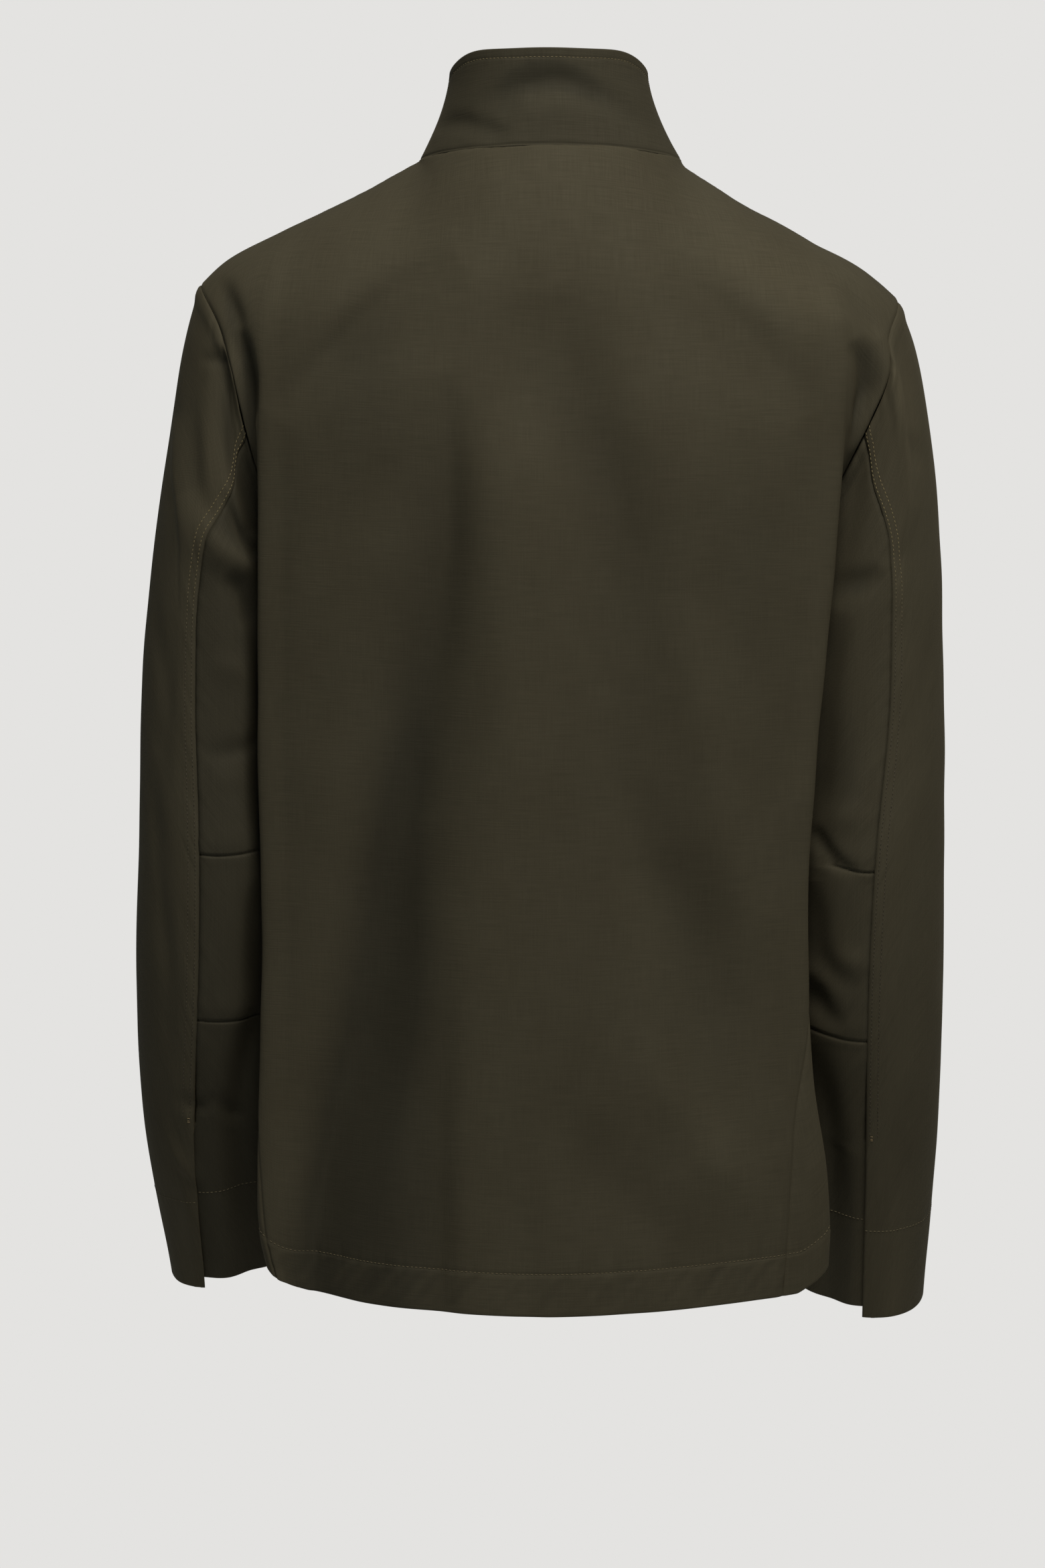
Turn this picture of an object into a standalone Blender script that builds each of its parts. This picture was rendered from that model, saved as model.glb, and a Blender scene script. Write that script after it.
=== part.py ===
"""Field jacket, hollow, in the form that it has when it is worn: back, two fronts, stand collar, two-piece sleeves.

Metres, +Z up. The wearer's front faces -Y and the wearer's left is +X. The origin is on the middle of the body at
the seam of collar and back, where the wearer's neck carries the jacket. Every cloth piece is a closed wall: a grid
of outer points, worked out from the tables below, and the same grid moved in by the cloth's thickness.
"""

import math

import bmesh
import bpy
import numpy as np

MM = 0.001

# ---- driving dimensions, in millimetres and degrees ----
WALL = 1.6  # thickness of a cloth wall, two layers of cloth with their seam allowance
SEAM_GAP = 0.3  # between two pieces at their seam
SHARP_ANGLE = 50.0  # edges sharper than this keep a crisp line

LAP = 20.0  # how far each front passes the middle of the body
LAP_LIFT = 2.4  # how far the left front stands off the right one
LAP_FADE = 40.0  # width over which that lift dies away beside the lap
LAP_MARGIN = 3.0  # between the lap and the start of that width

NECK_WIDTH = {"left": 80.0, "right": 86.0}
NECK_DEPTH = 68.0
NECK_MIDDLE_Y = -6.0
NECK_FRONT_DROP = 42.0
NECK_FRONT_CURVE = 1.4
NECK_SIDE_DROP = 2.0
NECK_SHARE = 0.36  # where a panel's top row turns from the neckline to the shoulder seam
LAP_ANGLE = math.degrees(math.asin(LAP / NECK_WIDTH["left"]))

COLLAR_TOP_WIDTH = {"left": 61.0, "right": 65.0}
COLLAR_TOP_DEPTH = 57.0
COLLAR_HEIGHT = 61.5  # at the middle of the back
COLLAR_SIDE_FALL = 8.5  # how much lower its top edge is at the side of the neck
COLLAR_FRONT_FALL = 22.0  # the further fall of the top edge towards the front
COLLAR_FLARE = 1.6  # power of the curve by which it widens downwards
COLLAR_ROWS = 5

HEM_RISE = 12.5  # how much higher the hem is at the sides than in the middle
HEM_HALF_WIDTH = 170.0
HEM_CURVE = 1.6  # power of the curve by which it rises
HEM_CORNER_RISE = 13.0  # the further rise round the corner behind the arm
HEM_CORNER_Y = (70.0, 12.0)  # depth at which it starts, and over which it grows
HEM_FRONT_X = (20.0, 110.0)  # distance from the front's middle at which it has died away, and over which it does
HEM_RISE_REACH = 150.0  # height over which these rises die away

YOKE_LEVEL = -130.0  # above this height the rows of a panel turn to follow the shoulder
YOKE_START = (0.3, 0.1, 1.3)  # how the panel sets out upwards from there, as shares of its way along X, Y and Z
NECK_ARRIVAL = (1.0, 1.4, 0.75)  # and how it arrives at the neckline
RIDGE_ARRIVAL = (0.6, 1.6, 0.15)  # and at the shoulder seam
RIDGE_BLEND = (0.12, 0.55)  # the share across at which the second takes over from the first, and its width
YOKE_EDGE = 0.6  # the share across from which the rows above bend to meet the armhole

UNDERARM_REACH = 70.0  # height below the armhole over which the side seam swings to its lowest point
BACK_KNEE = 0.72  # share of the back's columns that lie between the middle and the corner behind the arm
FRONT_KNEES = (0.5, 0.84)  # and of a front's, up to the corner before the arm and the one behind it
KNEE_MARGIN = 9.0  # least width of a panel beside its last knee
BACK_SEARCH = (-20.0, 90.0)  # the back meets the armhole between these lengths past its corner
FRONT_SEARCH = (30.0, 90.0)  # the front, between this length past it and this one short of the section's end
SEARCH_STEPS = 221

HOLE_MIDDLE = (185.0, -5.0, -165.0)
HOLE_AXIS = (0.9, 0.0, -0.43)  # the way through the armhole
CAP_TURN, CAP_FADE = 125.0, 45.0  # angle over the shoulder up to which walls stand square to the armhole's seam
CAP_REACH = 0.4  # share of the sleeve's length over which the armhole's own form dies away
TURN_REACH = 0.25  # share over which the sleeve's columns turn from the armhole's angles to even ones

UNDERARM_PULL = 3.0  # how far a sleeve stands off the body just below its armhole
PULL_TURNS, PULL_TURN_FADE = (105.0, 255.0), 25.0  # angles between which it does
PULL_START, PULL_END, PULL_FADE = 0.05, 0.1, 0.25  # shares of the sleeve's length where it grows and dies away

FRONT_SEAM_ANGLE = -108.0  # the sleeve's front seam, seen along the arm from its outermost point
VENT_TOP = 0.855  # where the cuff vent opens, as a share of the sleeve's length
VENT_LAP = 18.0  # angle by which the under sleeve passes below the top sleeve at the vent
VENT_SINK = 2.4  # how far it lies below it
VENT_START, VENT_RAMP = 0.015, 0.06  # shares of the sleeve's length over which the two grow
VENT_SINK_TURN = 25.0  # angle past the seam over which the under sleeve comes out again
VENT_SHORT = 0.0085  # share of the length by which it ends higher than the top sleeve at the vent

BUTTON_HEIGHTS = (-8.0, -80.0, -190.0, -300.0, -410.0, -520.0, -630.0)
BUTTON_RADIUS = 9.5
BUTTON_SIDES = 16
BUTTON_THICKNESS = 3.2
BUTTON_HOLE_RADIUS = 1.1
BUTTON_HOLE_SIDES = 6
BUTTON_HOLE_SPREAD = 2.4  # from the middle
BUTTON_RIM = 1.8
BUTTON_SLOPE = 1.2  # width of the slope from the rim down to the dish
BUTTON_DISH = 0.8
BUTTON_BOW = 0.1  # by which the cloth bows out under a button

SIDES = {"left": 1.0, "right": -1.0}


def table(names, rows):
    """The columns of a table, by name."""
    return dict(zip(names.split(), np.array(rows, float).T))


# Sections of the body. back, front: the middle of the back and front. corner: the soft edge behind the arm. wall:
# the side, which the arm presses in. fcorner: the edge before the arm. seam: the side seam's distance along the
# cloth from the corner, forwards.
BODY = table(
    "z back corner_left corner_right corner_y wall_x wall_y fcorner_x fcorner_y front seam_left seam_right",
    [
        (-723, 104, 173, 175, 58, 148, -34, 158, -84, -112, -9, -33),
        (-690, 104, 178, 176, 59, 149, -32, 160, -82, -113, -8, -31),
        (-640, 103, 179, 174, 60, 150, -26, 162, -80, -114, -4, -25),
        (-580, 102, 178, 166, 59, 151, -16, 163, -78, -115, 6, -11),
        (-520, 101, 176, 163, 59, 151, -6, 163, -76, -115, 20, 5),
        (-450, 100, 177, 163, 60, 150, 0, 162, -74, -115, 36, 25),
        (-380, 102, 179, 168, 61, 148, 0, 162, -74, -116, 50, 45),
        (-310, 105, 179, 175, 61, 146, -2, 163, -76, -118, 60, 60),
        (-250, 108, 179, 180, 61, 147, -4, 166, -78, -119, 66, 72),
        (-200, 108, 179, 184, 62, 152, -5, 170, -78, -117, 60, 66),
        (-165, 105, 180, 187, 63, 160, -6, 174, -76, -112, 50, 50),
        (-130, 99, 183, 191, 62, 170, -6, 178, -72, -103, 40, 40),
        (-100, 91, 190, 200, 56, 180, -6, 182, -66, -92, 30, 30),
    ],
)
HEM = BODY["z"][0]

# The section bulges from the middle to a corner as a power of the share across, read at these shares.
BULGE_SHARES = np.array([0.0, 0.3, 0.55, 0.75, 0.9, 1.0])
BACK_BULGE, FRONT_BULGE = 2.4, 2.6

# Points of a section between its two corners, each beside a point of the table.
SIDE_POINTS = (
    # beside, further out, further back
    ("corner", -4, -9),
    ("wall", 7, 38),
    ("wall", 0, 0),
    ("wall", 5, -34),
    ("fcorner", -3, 12),
)

# The armhole, round from the shoulder's tip over the back: turn is the angle round the sleeve.
ARMHOLE = table(
    "turn left_x right_x y left_z right_z",
    [
        (0, 218, 222, -5, -81, -91),
        (30, 215, 221, 22, -89, -99),
        (60, 203, 214, 43, -114, -119),
        (85, 195, 214, 51, -142, -142),
        (110, 188, 202, 49, -174, -172),
        (132, 178, 186, 42, -204, -202),
        (156, 162, 163, 24, -236, -238),
        (180, 150, 150, -4, -250, -250),
        (204, 153, 153, -34, -238, -241),
        (230, 166, 167, -58, -206, -209),
        (270, 184, 188, -69, -155, -160),
        (305, 202, 207, -55, -115, -122),
        (332, 212, 217, -32, -91, -100),
    ],
)

# The shoulder seam from the neck to the tip.
SHOULDER = table(
    "share left_x left_z right_x right_z",
    [
        (0.0, 80, -2, 86, -4),
        (0.3, 124, -26, 123, -28),
        (0.6, 167, -47, 166, -52),
        (0.85, 202, -66, 203, -73),
        (1.0, 218, -81, 222, -91),
    ],
)

# Rings down a sleeve. outer, inner: its outermost and innermost points. middle_y, half_y: its place and half its
# depth. drop: how much lower the back of the ring is than its middle. back_seam: the angle of the back seam.
SLEEVES = {
    "left": table(
        "share outer_x outer_z inner_x inner_z middle_y half_y drop back_seam",
        [
            (0.00, 218, -81, 150.5, -250, -6, 60, 0, 107),
            (0.07, 227, -112, 150.5, -260, -6, 61, 0, 104),
            (0.18, 239, -184, 150.5, -284, -6, 61, 0, 85),
            (0.30, 248, -246, 152, -318, -5, 60, 0, 72),
            (0.44, 255, -322, 154, -368, -3, 58, 0, 74),
            (0.60, 257, -428, 157, -448, 0, 57, 3, 80),
            (0.74, 259.5, -517, 161, -524, -8, 54, 8, 82),
            (0.87, 256, -611, 161, -607, -28, 49, 12, 74),
            (1.00, 240.5, -709, 158, -694, -54, 45, 14, 65),
        ],
    ),
    "right": table(
        "share outer_x outer_z inner_x inner_z middle_y half_y drop back_seam",
        [
            (0.00, 222, -91, 150.5, -250, -6, 60, 0, 108),
            (0.07, 233, -120, 150.5, -263, -6, 61, 0, 106),
            (0.18, 245, -188, 151, -288, -6, 61, 0, 91),
            (0.30, 250, -250, 151.5, -322, -5, 60, 0, 77),
            (0.44, 252, -326, 152.5, -372, -3, 58, 0, 76),
            (0.60, 252, -434, 153.5, -454, 0, 57, 3, 88),
            (0.74, 252, -525, 156, -532, -8, 54, 8, 94),
            (0.87, 250, -620, 157, -620, -28, 49, 13, 93),
            (1.00, 243.5, -722, 157, -711, -54, 45, 19, 89),
        ],
    ),
}

# Large soft folds of the back: a line from top to bottom, by height and place across, with its half width and its
# depth, inwards.
BACK_FOLDS = (
    # z_top, x_top, z_middle, x_middle, z_bottom, x_bottom, half_width, depth
    (-200, 44, -370, 66, -700, 140, 26, 5.0),
    (-210, 8, -400, 26, -640, 46, 24, -2.5),
    (-150, -52, -420, -92, -580, -88, 28, 3.0),
)
FOLD_END = 120.0  # length over which a fold dies away at each end

# Rows of a panel, closer where the armhole starts and at the shoulder. A row's height is 0 at the hem, 1 at
# YOKE_LEVEL and 2 at the top.
HOLE_LEVEL = -251.0  # rows above this height end on the armhole
UNDERARM_ROWS = (-290, -268, -250, -243, -233, -218, -200, -180, -155)
ROW_HEIGHTS = np.concatenate(
    [
        np.linspace(0, 0.67, 9),
        (np.array(UNDERARM_ROWS) - HEM) / (YOKE_LEVEL - HEM),
        1 + np.linspace(0, 1, 7),
    ]
)
HOLE_HEIGHTS = ROW_HEIGHTS[ROW_HEIGHTS > (HOLE_LEVEL - HEM) / (YOKE_LEVEL - HEM)]

# Columns of a panel, as shares from the middle to the edge: where each stretch ends and its number of columns.
COLUMN_STOPS = ((NECK_SHARE, 7), (FRONT_KNEES[0], 2), (BACK_KNEE, 4), (FRONT_KNEES[1], 3), (1.0, 3))

SLEEVE_ROWS = np.concatenate([[0, 0.025, 0.06, 0.11], np.linspace(0.17, VENT_TOP - 0.02, 9), [VENT_TOP]])
SLEEVE_ROWS = np.append(SLEEVE_ROWS, [VENT_TOP + 0.02, 0.93, 1.0])


# ---- curves and grids ----
def through(x, xs, ys):
    """A smooth curve through the points (xs, ys), read at x."""
    slope = np.gradient(ys, xs)
    i = np.clip(np.searchsorted(xs, x) - 1, 0, len(xs) - 2)
    width = xs[i + 1] - xs[i]
    t = (x - xs[i]) / width
    start = (2 * t**3 - 3 * t**2 + 1) * ys[i] + (t**3 - 2 * t**2 + t) * width * slope[i]
    return start + (3 * t**2 - 2 * t**3) * ys[i + 1] + (t**3 - t**2) * width * slope[i + 1]


def ease(x):
    """0 below 0, 1 above 1, and smooth between them."""
    t = np.clip(x, 0.0, 1.0)
    return t * t * (3 - 2 * t)


def stack(x, y, z):
    x, y, z = np.broadcast_arrays(x, y, z)
    return np.stack([x, y, z], axis=-1).astype(float)


def column_shares():
    shares = [0.0]
    for stop, count in COLUMN_STOPS:
        shares += list(np.linspace(shares[-1], stop, count + 1)[1:])
    return np.array(shares)


SHARES = column_shares()


def armhole(side, turn):
    """Points of the armhole at angles round the sleeve, before the side's sign."""
    around = np.concatenate([ARMHOLE["turn"] - 360, ARMHOLE["turn"], ARMHOLE["turn"] + 360])
    columns = [np.tile(ARMHOLE[name], 3) for name in (side + "_x", "y", side + "_z")]
    return stack(*(through(turn, around, column) for column in columns))


def armhole_turn(side, z, over):
    """The angle at which the armhole reaches a height, on its back (over = 1) or its front (over = -1)."""
    turn = np.linspace(180, 0, 181) if over > 0 else np.linspace(180, 360, 181)
    return np.interp(z, armhole(side, turn)[:, 2], turn)


def section(side, z):
    """The body's section on one side at a height: lengths along it, its points from back to front, the lengths of
    its back and front corners, and the seam's distance from the back one."""
    row = {name: float(through(z, BODY["z"], column)) for name, column in BODY.items()}
    beside = {name: (row[name + "_x"], row[name + "_y"]) for name in ("wall", "fcorner")}
    beside["corner"] = (row["corner_" + side], row["corner_y"])
    back_y = row["corner_y"] + (row["back"] - row["corner_y"]) * (1 - BULGE_SHARES**BACK_BULGE)
    front_y = row["fcorner_y"] + (row["front"] - row["fcorner_y"]) * (1 - BULGE_SHARES**FRONT_BULGE)
    points = list(zip(BULGE_SHARES * beside["corner"][0], back_y))
    points += [(beside[name][0] + out, beside[name][1] + behind) for name, out, behind in SIDE_POINTS]
    points += list(zip((BULGE_SHARES * row["fcorner_x"])[::-1], front_y[::-1]))
    points = np.array(points + [(-LAP, front_y[0])])
    along = np.concatenate([[0], np.cumsum(np.linalg.norm(np.diff(points, axis=0), axis=1))])
    corner = len(BULGE_SHARES) - 1
    return along, points, along[corner], along[corner + len(SIDE_POINTS) + 1], row["seam_" + side]


def on_section(along, points, at):
    return np.stack([through(at, along, points[:, k]) for k in (0, 1)], axis=-1)


def nearest(along, points, target, tries):
    gaps = np.linalg.norm(on_section(along, points, tries) - target, axis=1)
    return tries[gaps.argmin()]


def panel_edge(side, z, over, along, points, corner, seam):
    """Where a panel ends along the section, and how far its end then moves to lie on the armhole."""
    underarm = ARMHOLE[side + "_z"].min()
    target = armhole(side, armhole_turn(side, max(z, underarm), over))[:2]
    if over > 0 or z < underarm:
        tries = np.linspace(corner + BACK_SEARCH[0], corner + BACK_SEARCH[1], SEARCH_STEPS)
    else:
        tries = np.linspace(corner + FRONT_SEARCH[0], along[-1] - FRONT_SEARCH[1], SEARCH_STEPS)
    met = nearest(along, points, target, tries)
    near = ease(1 - (underarm - z) / UNDERARM_REACH)
    edge = (corner + seam) * (1 - near) + met * near
    return edge, near * (target - on_section(along, points, met))


def level_row(side, z, share, over):
    """A row of the back (over = 1) or front (over = -1) at a height: share is 0 in the middle and 1 at its edge."""
    along, points, corner, front_corner, seam = section(side, z)
    edge, fix = panel_edge(side, z, over, along, points, corner, seam)
    if over > 0:
        at = np.interp(share, [0, BACK_KNEE, 1], [0, min(corner, edge - KNEE_MARGIN), edge])
    else:
        knee = max(corner, edge + KNEE_MARGIN)
        at = np.interp(share, [0, *FRONT_KNEES, 1], [along[-1], front_corner, knee, edge])
    flat = on_section(along, points, at)
    flat = flat + ease((share - BACK_KNEE) / (1 - BACK_KNEE))[:, None] ** 2 * fix
    return stack(flat[:, 0], flat[:, 1], z)


def neckline(side, angle):
    """Points of the neckline: the angle is 0 at the middle of the back and 180 at the middle of the front."""
    a = np.radians(angle)
    forward = np.clip(-np.cos(a), 0, None)
    drop = NECK_SIDE_DROP * np.clip(np.sin(a), 0, 1) ** 2
    front_drop = NECK_SIDE_DROP + (NECK_FRONT_DROP - NECK_SIDE_DROP) * forward**NECK_FRONT_CURVE
    z = -np.where(forward > 0, front_drop, drop)
    return stack(NECK_WIDTH[side] * np.sin(a), NECK_MIDDLE_Y + NECK_DEPTH * np.cos(a), z)


def past_neck(share):
    """How far along the shoulder seam a share of a panel's top row is."""
    return np.clip((share - NECK_SHARE) / (1 - NECK_SHARE), 0, 1)


def top_row(side, share, over):
    """The top of a panel: along the neckline and then along the shoulder seam."""
    middle = 0.0 if over > 0 else 180.0 + LAP_ANGLE
    neck = neckline(side, middle + (90.0 - middle) * np.clip(share / NECK_SHARE, 0, 1))
    s = past_neck(share)
    x = through(s, SHOULDER["share"], SHOULDER[side + "_x"])
    z = through(s, SHOULDER["share"], SHOULDER[side + "_z"])
    return np.where((share > NECK_SHARE)[:, None], stack(x, NECK_MIDDLE_Y + s, z), neck)


def yoke_row(side, rise, share, over):
    """A row between YOKE_LEVEL (rise = 0) and the top (rise = 1)."""
    low, top = level_row(side, YOKE_LEVEL, share, over), top_row(side, share, over)
    ridge = ease((share - RIDGE_BLEND[0]) / RIDGE_BLEND[1])[:, None]
    arrival = np.array(NECK_ARRIVAL) * (1 - ridge) + np.array(RIDGE_ARRIVAL) * ridge
    t, span = rise, top - low
    row = (2 * t**3 - 3 * t**2 + 1) * low + (t**3 - 2 * t**2 + t) * span * np.array(YOKE_START)
    row = row + (3 * t**2 - 2 * t**3) * top + (t**3 - t**2) * span * arrival
    edge = armhole(side, edge_turn(side, 1 + rise, over))
    return row + ease((share - YOKE_EDGE) / (1 - YOKE_EDGE))[:, None] * (edge - row[share.argmax()])


def edge_turn(side, height, over):
    """The angle round the armhole at which a row of a panel ends, from its underarm row upwards."""
    level = min(level_of(height), YOKE_LEVEL)
    start = armhole_turn(side, level, over)
    return start + ((0 if over > 0 else 360) - start) * max(height - 1, 0)


def level_of(height):
    return HEM + (YOKE_LEVEL - HEM) * height


def panel_row(side, height, share, over):
    """A row of a panel: height runs from 0 at the hem over 1 at YOKE_LEVEL to 2 at the top."""
    if height > 1:
        return yoke_row(side, height - 1, share, over)
    row = level_row(side, level_of(height), share, over)
    x, y, z = row.T
    rise = HEM_RISE * np.abs(x / HEM_HALF_WIDTH) ** HEM_CURVE
    corner = ease((HEM_CORNER_Y[0] - y) / HEM_CORNER_Y[1])
    front = ease((np.abs(x) - HEM_FRONT_X[0]) / HEM_FRONT_X[1]) if over < 0 else 1.0
    row[:, 2] += (rise + HEM_CORNER_RISE * corner * front) * np.clip(1 - (z - HEM) / HEM_RISE_REACH, 0, 1) ** 2
    return row


def outward(surface, u, v, step=(1e-3, 1e-3)):
    """Unit normals of a surface at its grid (u, v), from points close by."""
    u0, u1 = np.clip(u - step[0], u.min(), u.max()), np.clip(u + step[0], u.min(), u.max())
    v0, v1 = np.clip(v - step[1], v.min(), v.max()), np.clip(v + step[1], v.min(), v.max())
    across = surface(u1, v) - surface(u0, v)
    along = surface(u, v1) - surface(u, v0)
    normal = np.cross(across, along)
    return normal / np.linalg.norm(normal, axis=-1, keepdims=True)


def fold_depth(x, z):
    """How far the back's large folds move it inwards."""
    depth = np.zeros_like(x)
    for z_top, x_top, z_middle, x_middle, z_bottom, x_bottom, half_width, deep in BACK_FOLDS:
        heights = np.array([z_bottom, z_middle, z_top], float)
        line = through(np.clip(z, z_bottom, z_top), heights, np.array([x_bottom, x_middle, x_top], float))
        ends = ease((z - z_bottom) / FOLD_END) * ease((z_top - z) / FOLD_END)
        depth += deep * ends * np.exp(-(((x - line) / half_width) ** 2))
    return depth


def hole_normal(side, turn, own):
    """Normals at the armhole: those of the piece itself below, and square to the seam over the shoulder."""
    radial = armhole(side, turn) - np.array(HOLE_MIDDLE)
    radial -= (radial @ np.array(HOLE_AXIS))[..., None] * np.array(HOLE_AXIS)
    radial /= np.linalg.norm(radial, axis=-1, keepdims=True)
    over = ease((CAP_TURN - np.abs((turn + 180) % 360 - 180)) / CAP_FADE)[..., None]
    mixed = own * (1 - over) + radial * over
    return mixed / np.linalg.norm(mixed, axis=-1, keepdims=True)


def seam_normal(side, share):
    """Normals along the shoulder seam, square to it and level with the ridge of the shoulder."""
    s, step = past_neck(share), 0.02
    dx, dz = (
        through(s + step, SHOULDER["share"], SHOULDER[side + way])
        - through(s - step, SHOULDER["share"], SHOULDER[side + way])
        for way in ("_x", "_z")
    )
    return stack(-dz, 0 * dx, dx) / np.hypot(dx, dz)[:, None]


def panel_grid(side, over):
    """Outer points and normals of one side of a panel, its columns from the middle to the edge."""

    def surface(share, height):
        return np.array([panel_row(side, h, s, over) for h, s in zip(height[:, 0], share)])

    share, height = np.meshgrid(SHARES, ROW_HEIGHTS)
    points, normals = surface(share, height), -over * outward(surface, share, height)
    shoulder = SHARES >= NECK_SHARE
    normals[-1, shoulder] = seam_normal(side, SHARES[shoulder])
    holes = len(HOLE_HEIGHTS)
    turns = np.array([edge_turn(side, h, over) for h in HOLE_HEIGHTS])
    normals[-holes:, -1] = hole_normal(side, turns, normals[-holes:, -1])
    return points, normals


def collar_point(side, angle, rise):
    """The collar's outer surface: rise is 0 at the neckline and 1 at its top edge."""
    a = np.radians(angle)
    forward = np.clip(-np.cos(a), 0, None)
    top_z = COLLAR_HEIGHT - COLLAR_SIDE_FALL * (1 - np.cos(a)) - COLLAR_FRONT_FALL * forward**2
    top = stack(COLLAR_TOP_WIDTH[side] * np.sin(a), NECK_MIDDLE_Y + COLLAR_TOP_DEPTH * np.cos(a), top_z)
    fall = 1 - rise
    return top + (neckline(side, angle) - top) * stack(fall**COLLAR_FLARE, fall**COLLAR_FLARE, fall)


def lapped(points):
    """The points of a left-hand piece, moved forward where it lies over the right-hand one."""
    near = ease((LAP + LAP_MARGIN + LAP_FADE - points[..., 0]) / LAP_FADE)
    return points - stack(0, LAP_LIFT * near * (points[..., 1] < NECK_MIDDLE_Y), 0)


def ring_point(row, turn):
    """Points of a plain ring of a sleeve, at angles from its outermost point to its back."""
    a = np.radians(turn)[..., None]
    outer = stack(row["outer_x"], row["middle_y"], row["outer_z"])
    inner = stack(row["inner_x"], row["middle_y"], row["inner_z"])
    back = stack(0 * row["half_y"], row["half_y"], -row["drop"])
    return (outer + inner) / 2 + (outer - inner) / 2 * np.cos(a) + back * np.sin(a)


def sleeve_ring(side, share, turn):
    """The sleeve's outer surface: share runs down it, and turn is the angle from its outermost line to the back."""
    sleeve = SLEEVES[side]
    ring = ring_point({name: through(share, sleeve["share"], column) for name, column in sleeve.items()}, turn)
    start = ring_point({name: column[0] for name, column in sleeve.items()}, turn)
    hole = armhole(side, np.mod(turn, 360.0)) + np.array([SEAM_GAP, 0, 0])
    below = ease((np.mod(turn, 360.0) - PULL_TURNS[0]) / PULL_TURN_FADE)
    below = below * ease((PULL_TURNS[1] - np.mod(turn, 360.0)) / PULL_TURN_FADE)
    away = UNDERARM_PULL * below * ease(share / PULL_START) * (1 - ease((share - PULL_END) / PULL_FADE))
    pull = stack(away, -away * np.sin(np.radians(turn)), 0)
    return ring + (1 - ease(share / CAP_REACH))[..., None] * (hole - start) + pull


def hole_turns(side):
    """The angles of a sleeve's columns at the armhole, from its front seam over the top and below to it again."""
    back = [edge_turn(side, h, 1) for h in HOLE_HEIGHTS]
    front = [edge_turn(side, h, -1) - 360 for h in HOLE_HEIGHTS]
    turns = np.array(front[1:] + back[-2::-1])
    first = np.abs(turns - FRONT_SEAM_ANGLE).argmin()
    return np.concatenate([turns[first:], turns[:first] + 360, turns[first : first + 1] + 360])


def sleeve_grid(side, part):
    """Outer points and normals of the top or under part of a sleeve."""
    first = hole_turns(side)
    split = np.abs(first - SLEEVES[side]["back_seam"][0]).argmin()
    first = first[: split + 1] if part == "top" else first[split:]
    share, column = np.meshgrid(SLEEVE_ROWS, np.linspace(0, 1, len(first)), indexing="ij")
    if part == "under":
        share = share - VENT_SHORT * ease((share - VENT_TOP) / (1 - VENT_TOP)) * (1 - column)
    seam = through(share, SLEEVES[side]["share"], SLEEVES[side]["back_seam"])
    edge = seam - VENT_LAP * ease((share - VENT_TOP) / VENT_START) * (part == "under")
    low, high = (FRONT_SEAM_ANGLE, edge) if part == "top" else (edge, 360 + FRONT_SEAM_ANGLE)
    turn = low + (high - low) * column
    turn += (first - turn) * (1 - ease(share / TURN_REACH))
    points = sleeve_ring(side, share, turn)
    normals = outward(lambda s, t: sleeve_ring(side, s, t), share, turn, (1e-3, 0.1))
    normals[0] = hole_normal(side, first, normals[0])
    if part == "under":
        sink = ease((share - VENT_TOP + VENT_START + VENT_RAMP) / VENT_RAMP)
        sink = VENT_SINK * sink * (1 - ease((turn - seam) / VENT_SINK_TURN))
        points = points - sink[..., None] * normals
    return points, normals


def mirrored(points, side):
    return points * np.array([SIDES[side], 1.0, 1.0])


def across(right, left):
    """One grid out of a right and a left half that share their middle column."""
    return np.concatenate([mirrored(right, "right")[:, :0:-1], mirrored(left, "left")], axis=1)


def trimmed(grid, first=0.0, last=0.0, top=0.0):
    """The grid with its first and last column and its top row drawn in, along the cloth, by those lengths."""
    out = grid.copy()
    for edge, inner, length in (
        ((slice(None), 0), (slice(None), 1), first),
        ((slice(None), -1), (slice(None), -2), last),
        ((-1, slice(None)), (-2, slice(None)), top),
    ):
        way = grid[inner] - grid[edge]
        out[edge] += way * (length / np.linalg.norm(way, axis=-1, keepdims=True))
    return out


# ---- building ----
def material(name, colour, roughness):
    made = bpy.data.materials.new(name)
    made.use_nodes = True
    shader = made.node_tree.nodes["Principled BSDF"]
    shader.inputs["Base Color"].default_value = (*colour, 1.0)
    shader.inputs["Roughness"].default_value = roughness
    return made


def split_quads(mesh):
    """Splits the mesh's faces into triangles, each quad along its shorter diagonal."""
    shape = bmesh.new()
    shape.from_mesh(mesh)
    bmesh.ops.triangulate(shape, faces=shape.faces, quad_method="SHORT_EDGE")
    shape.to_mesh(mesh)
    shape.free()


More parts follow.
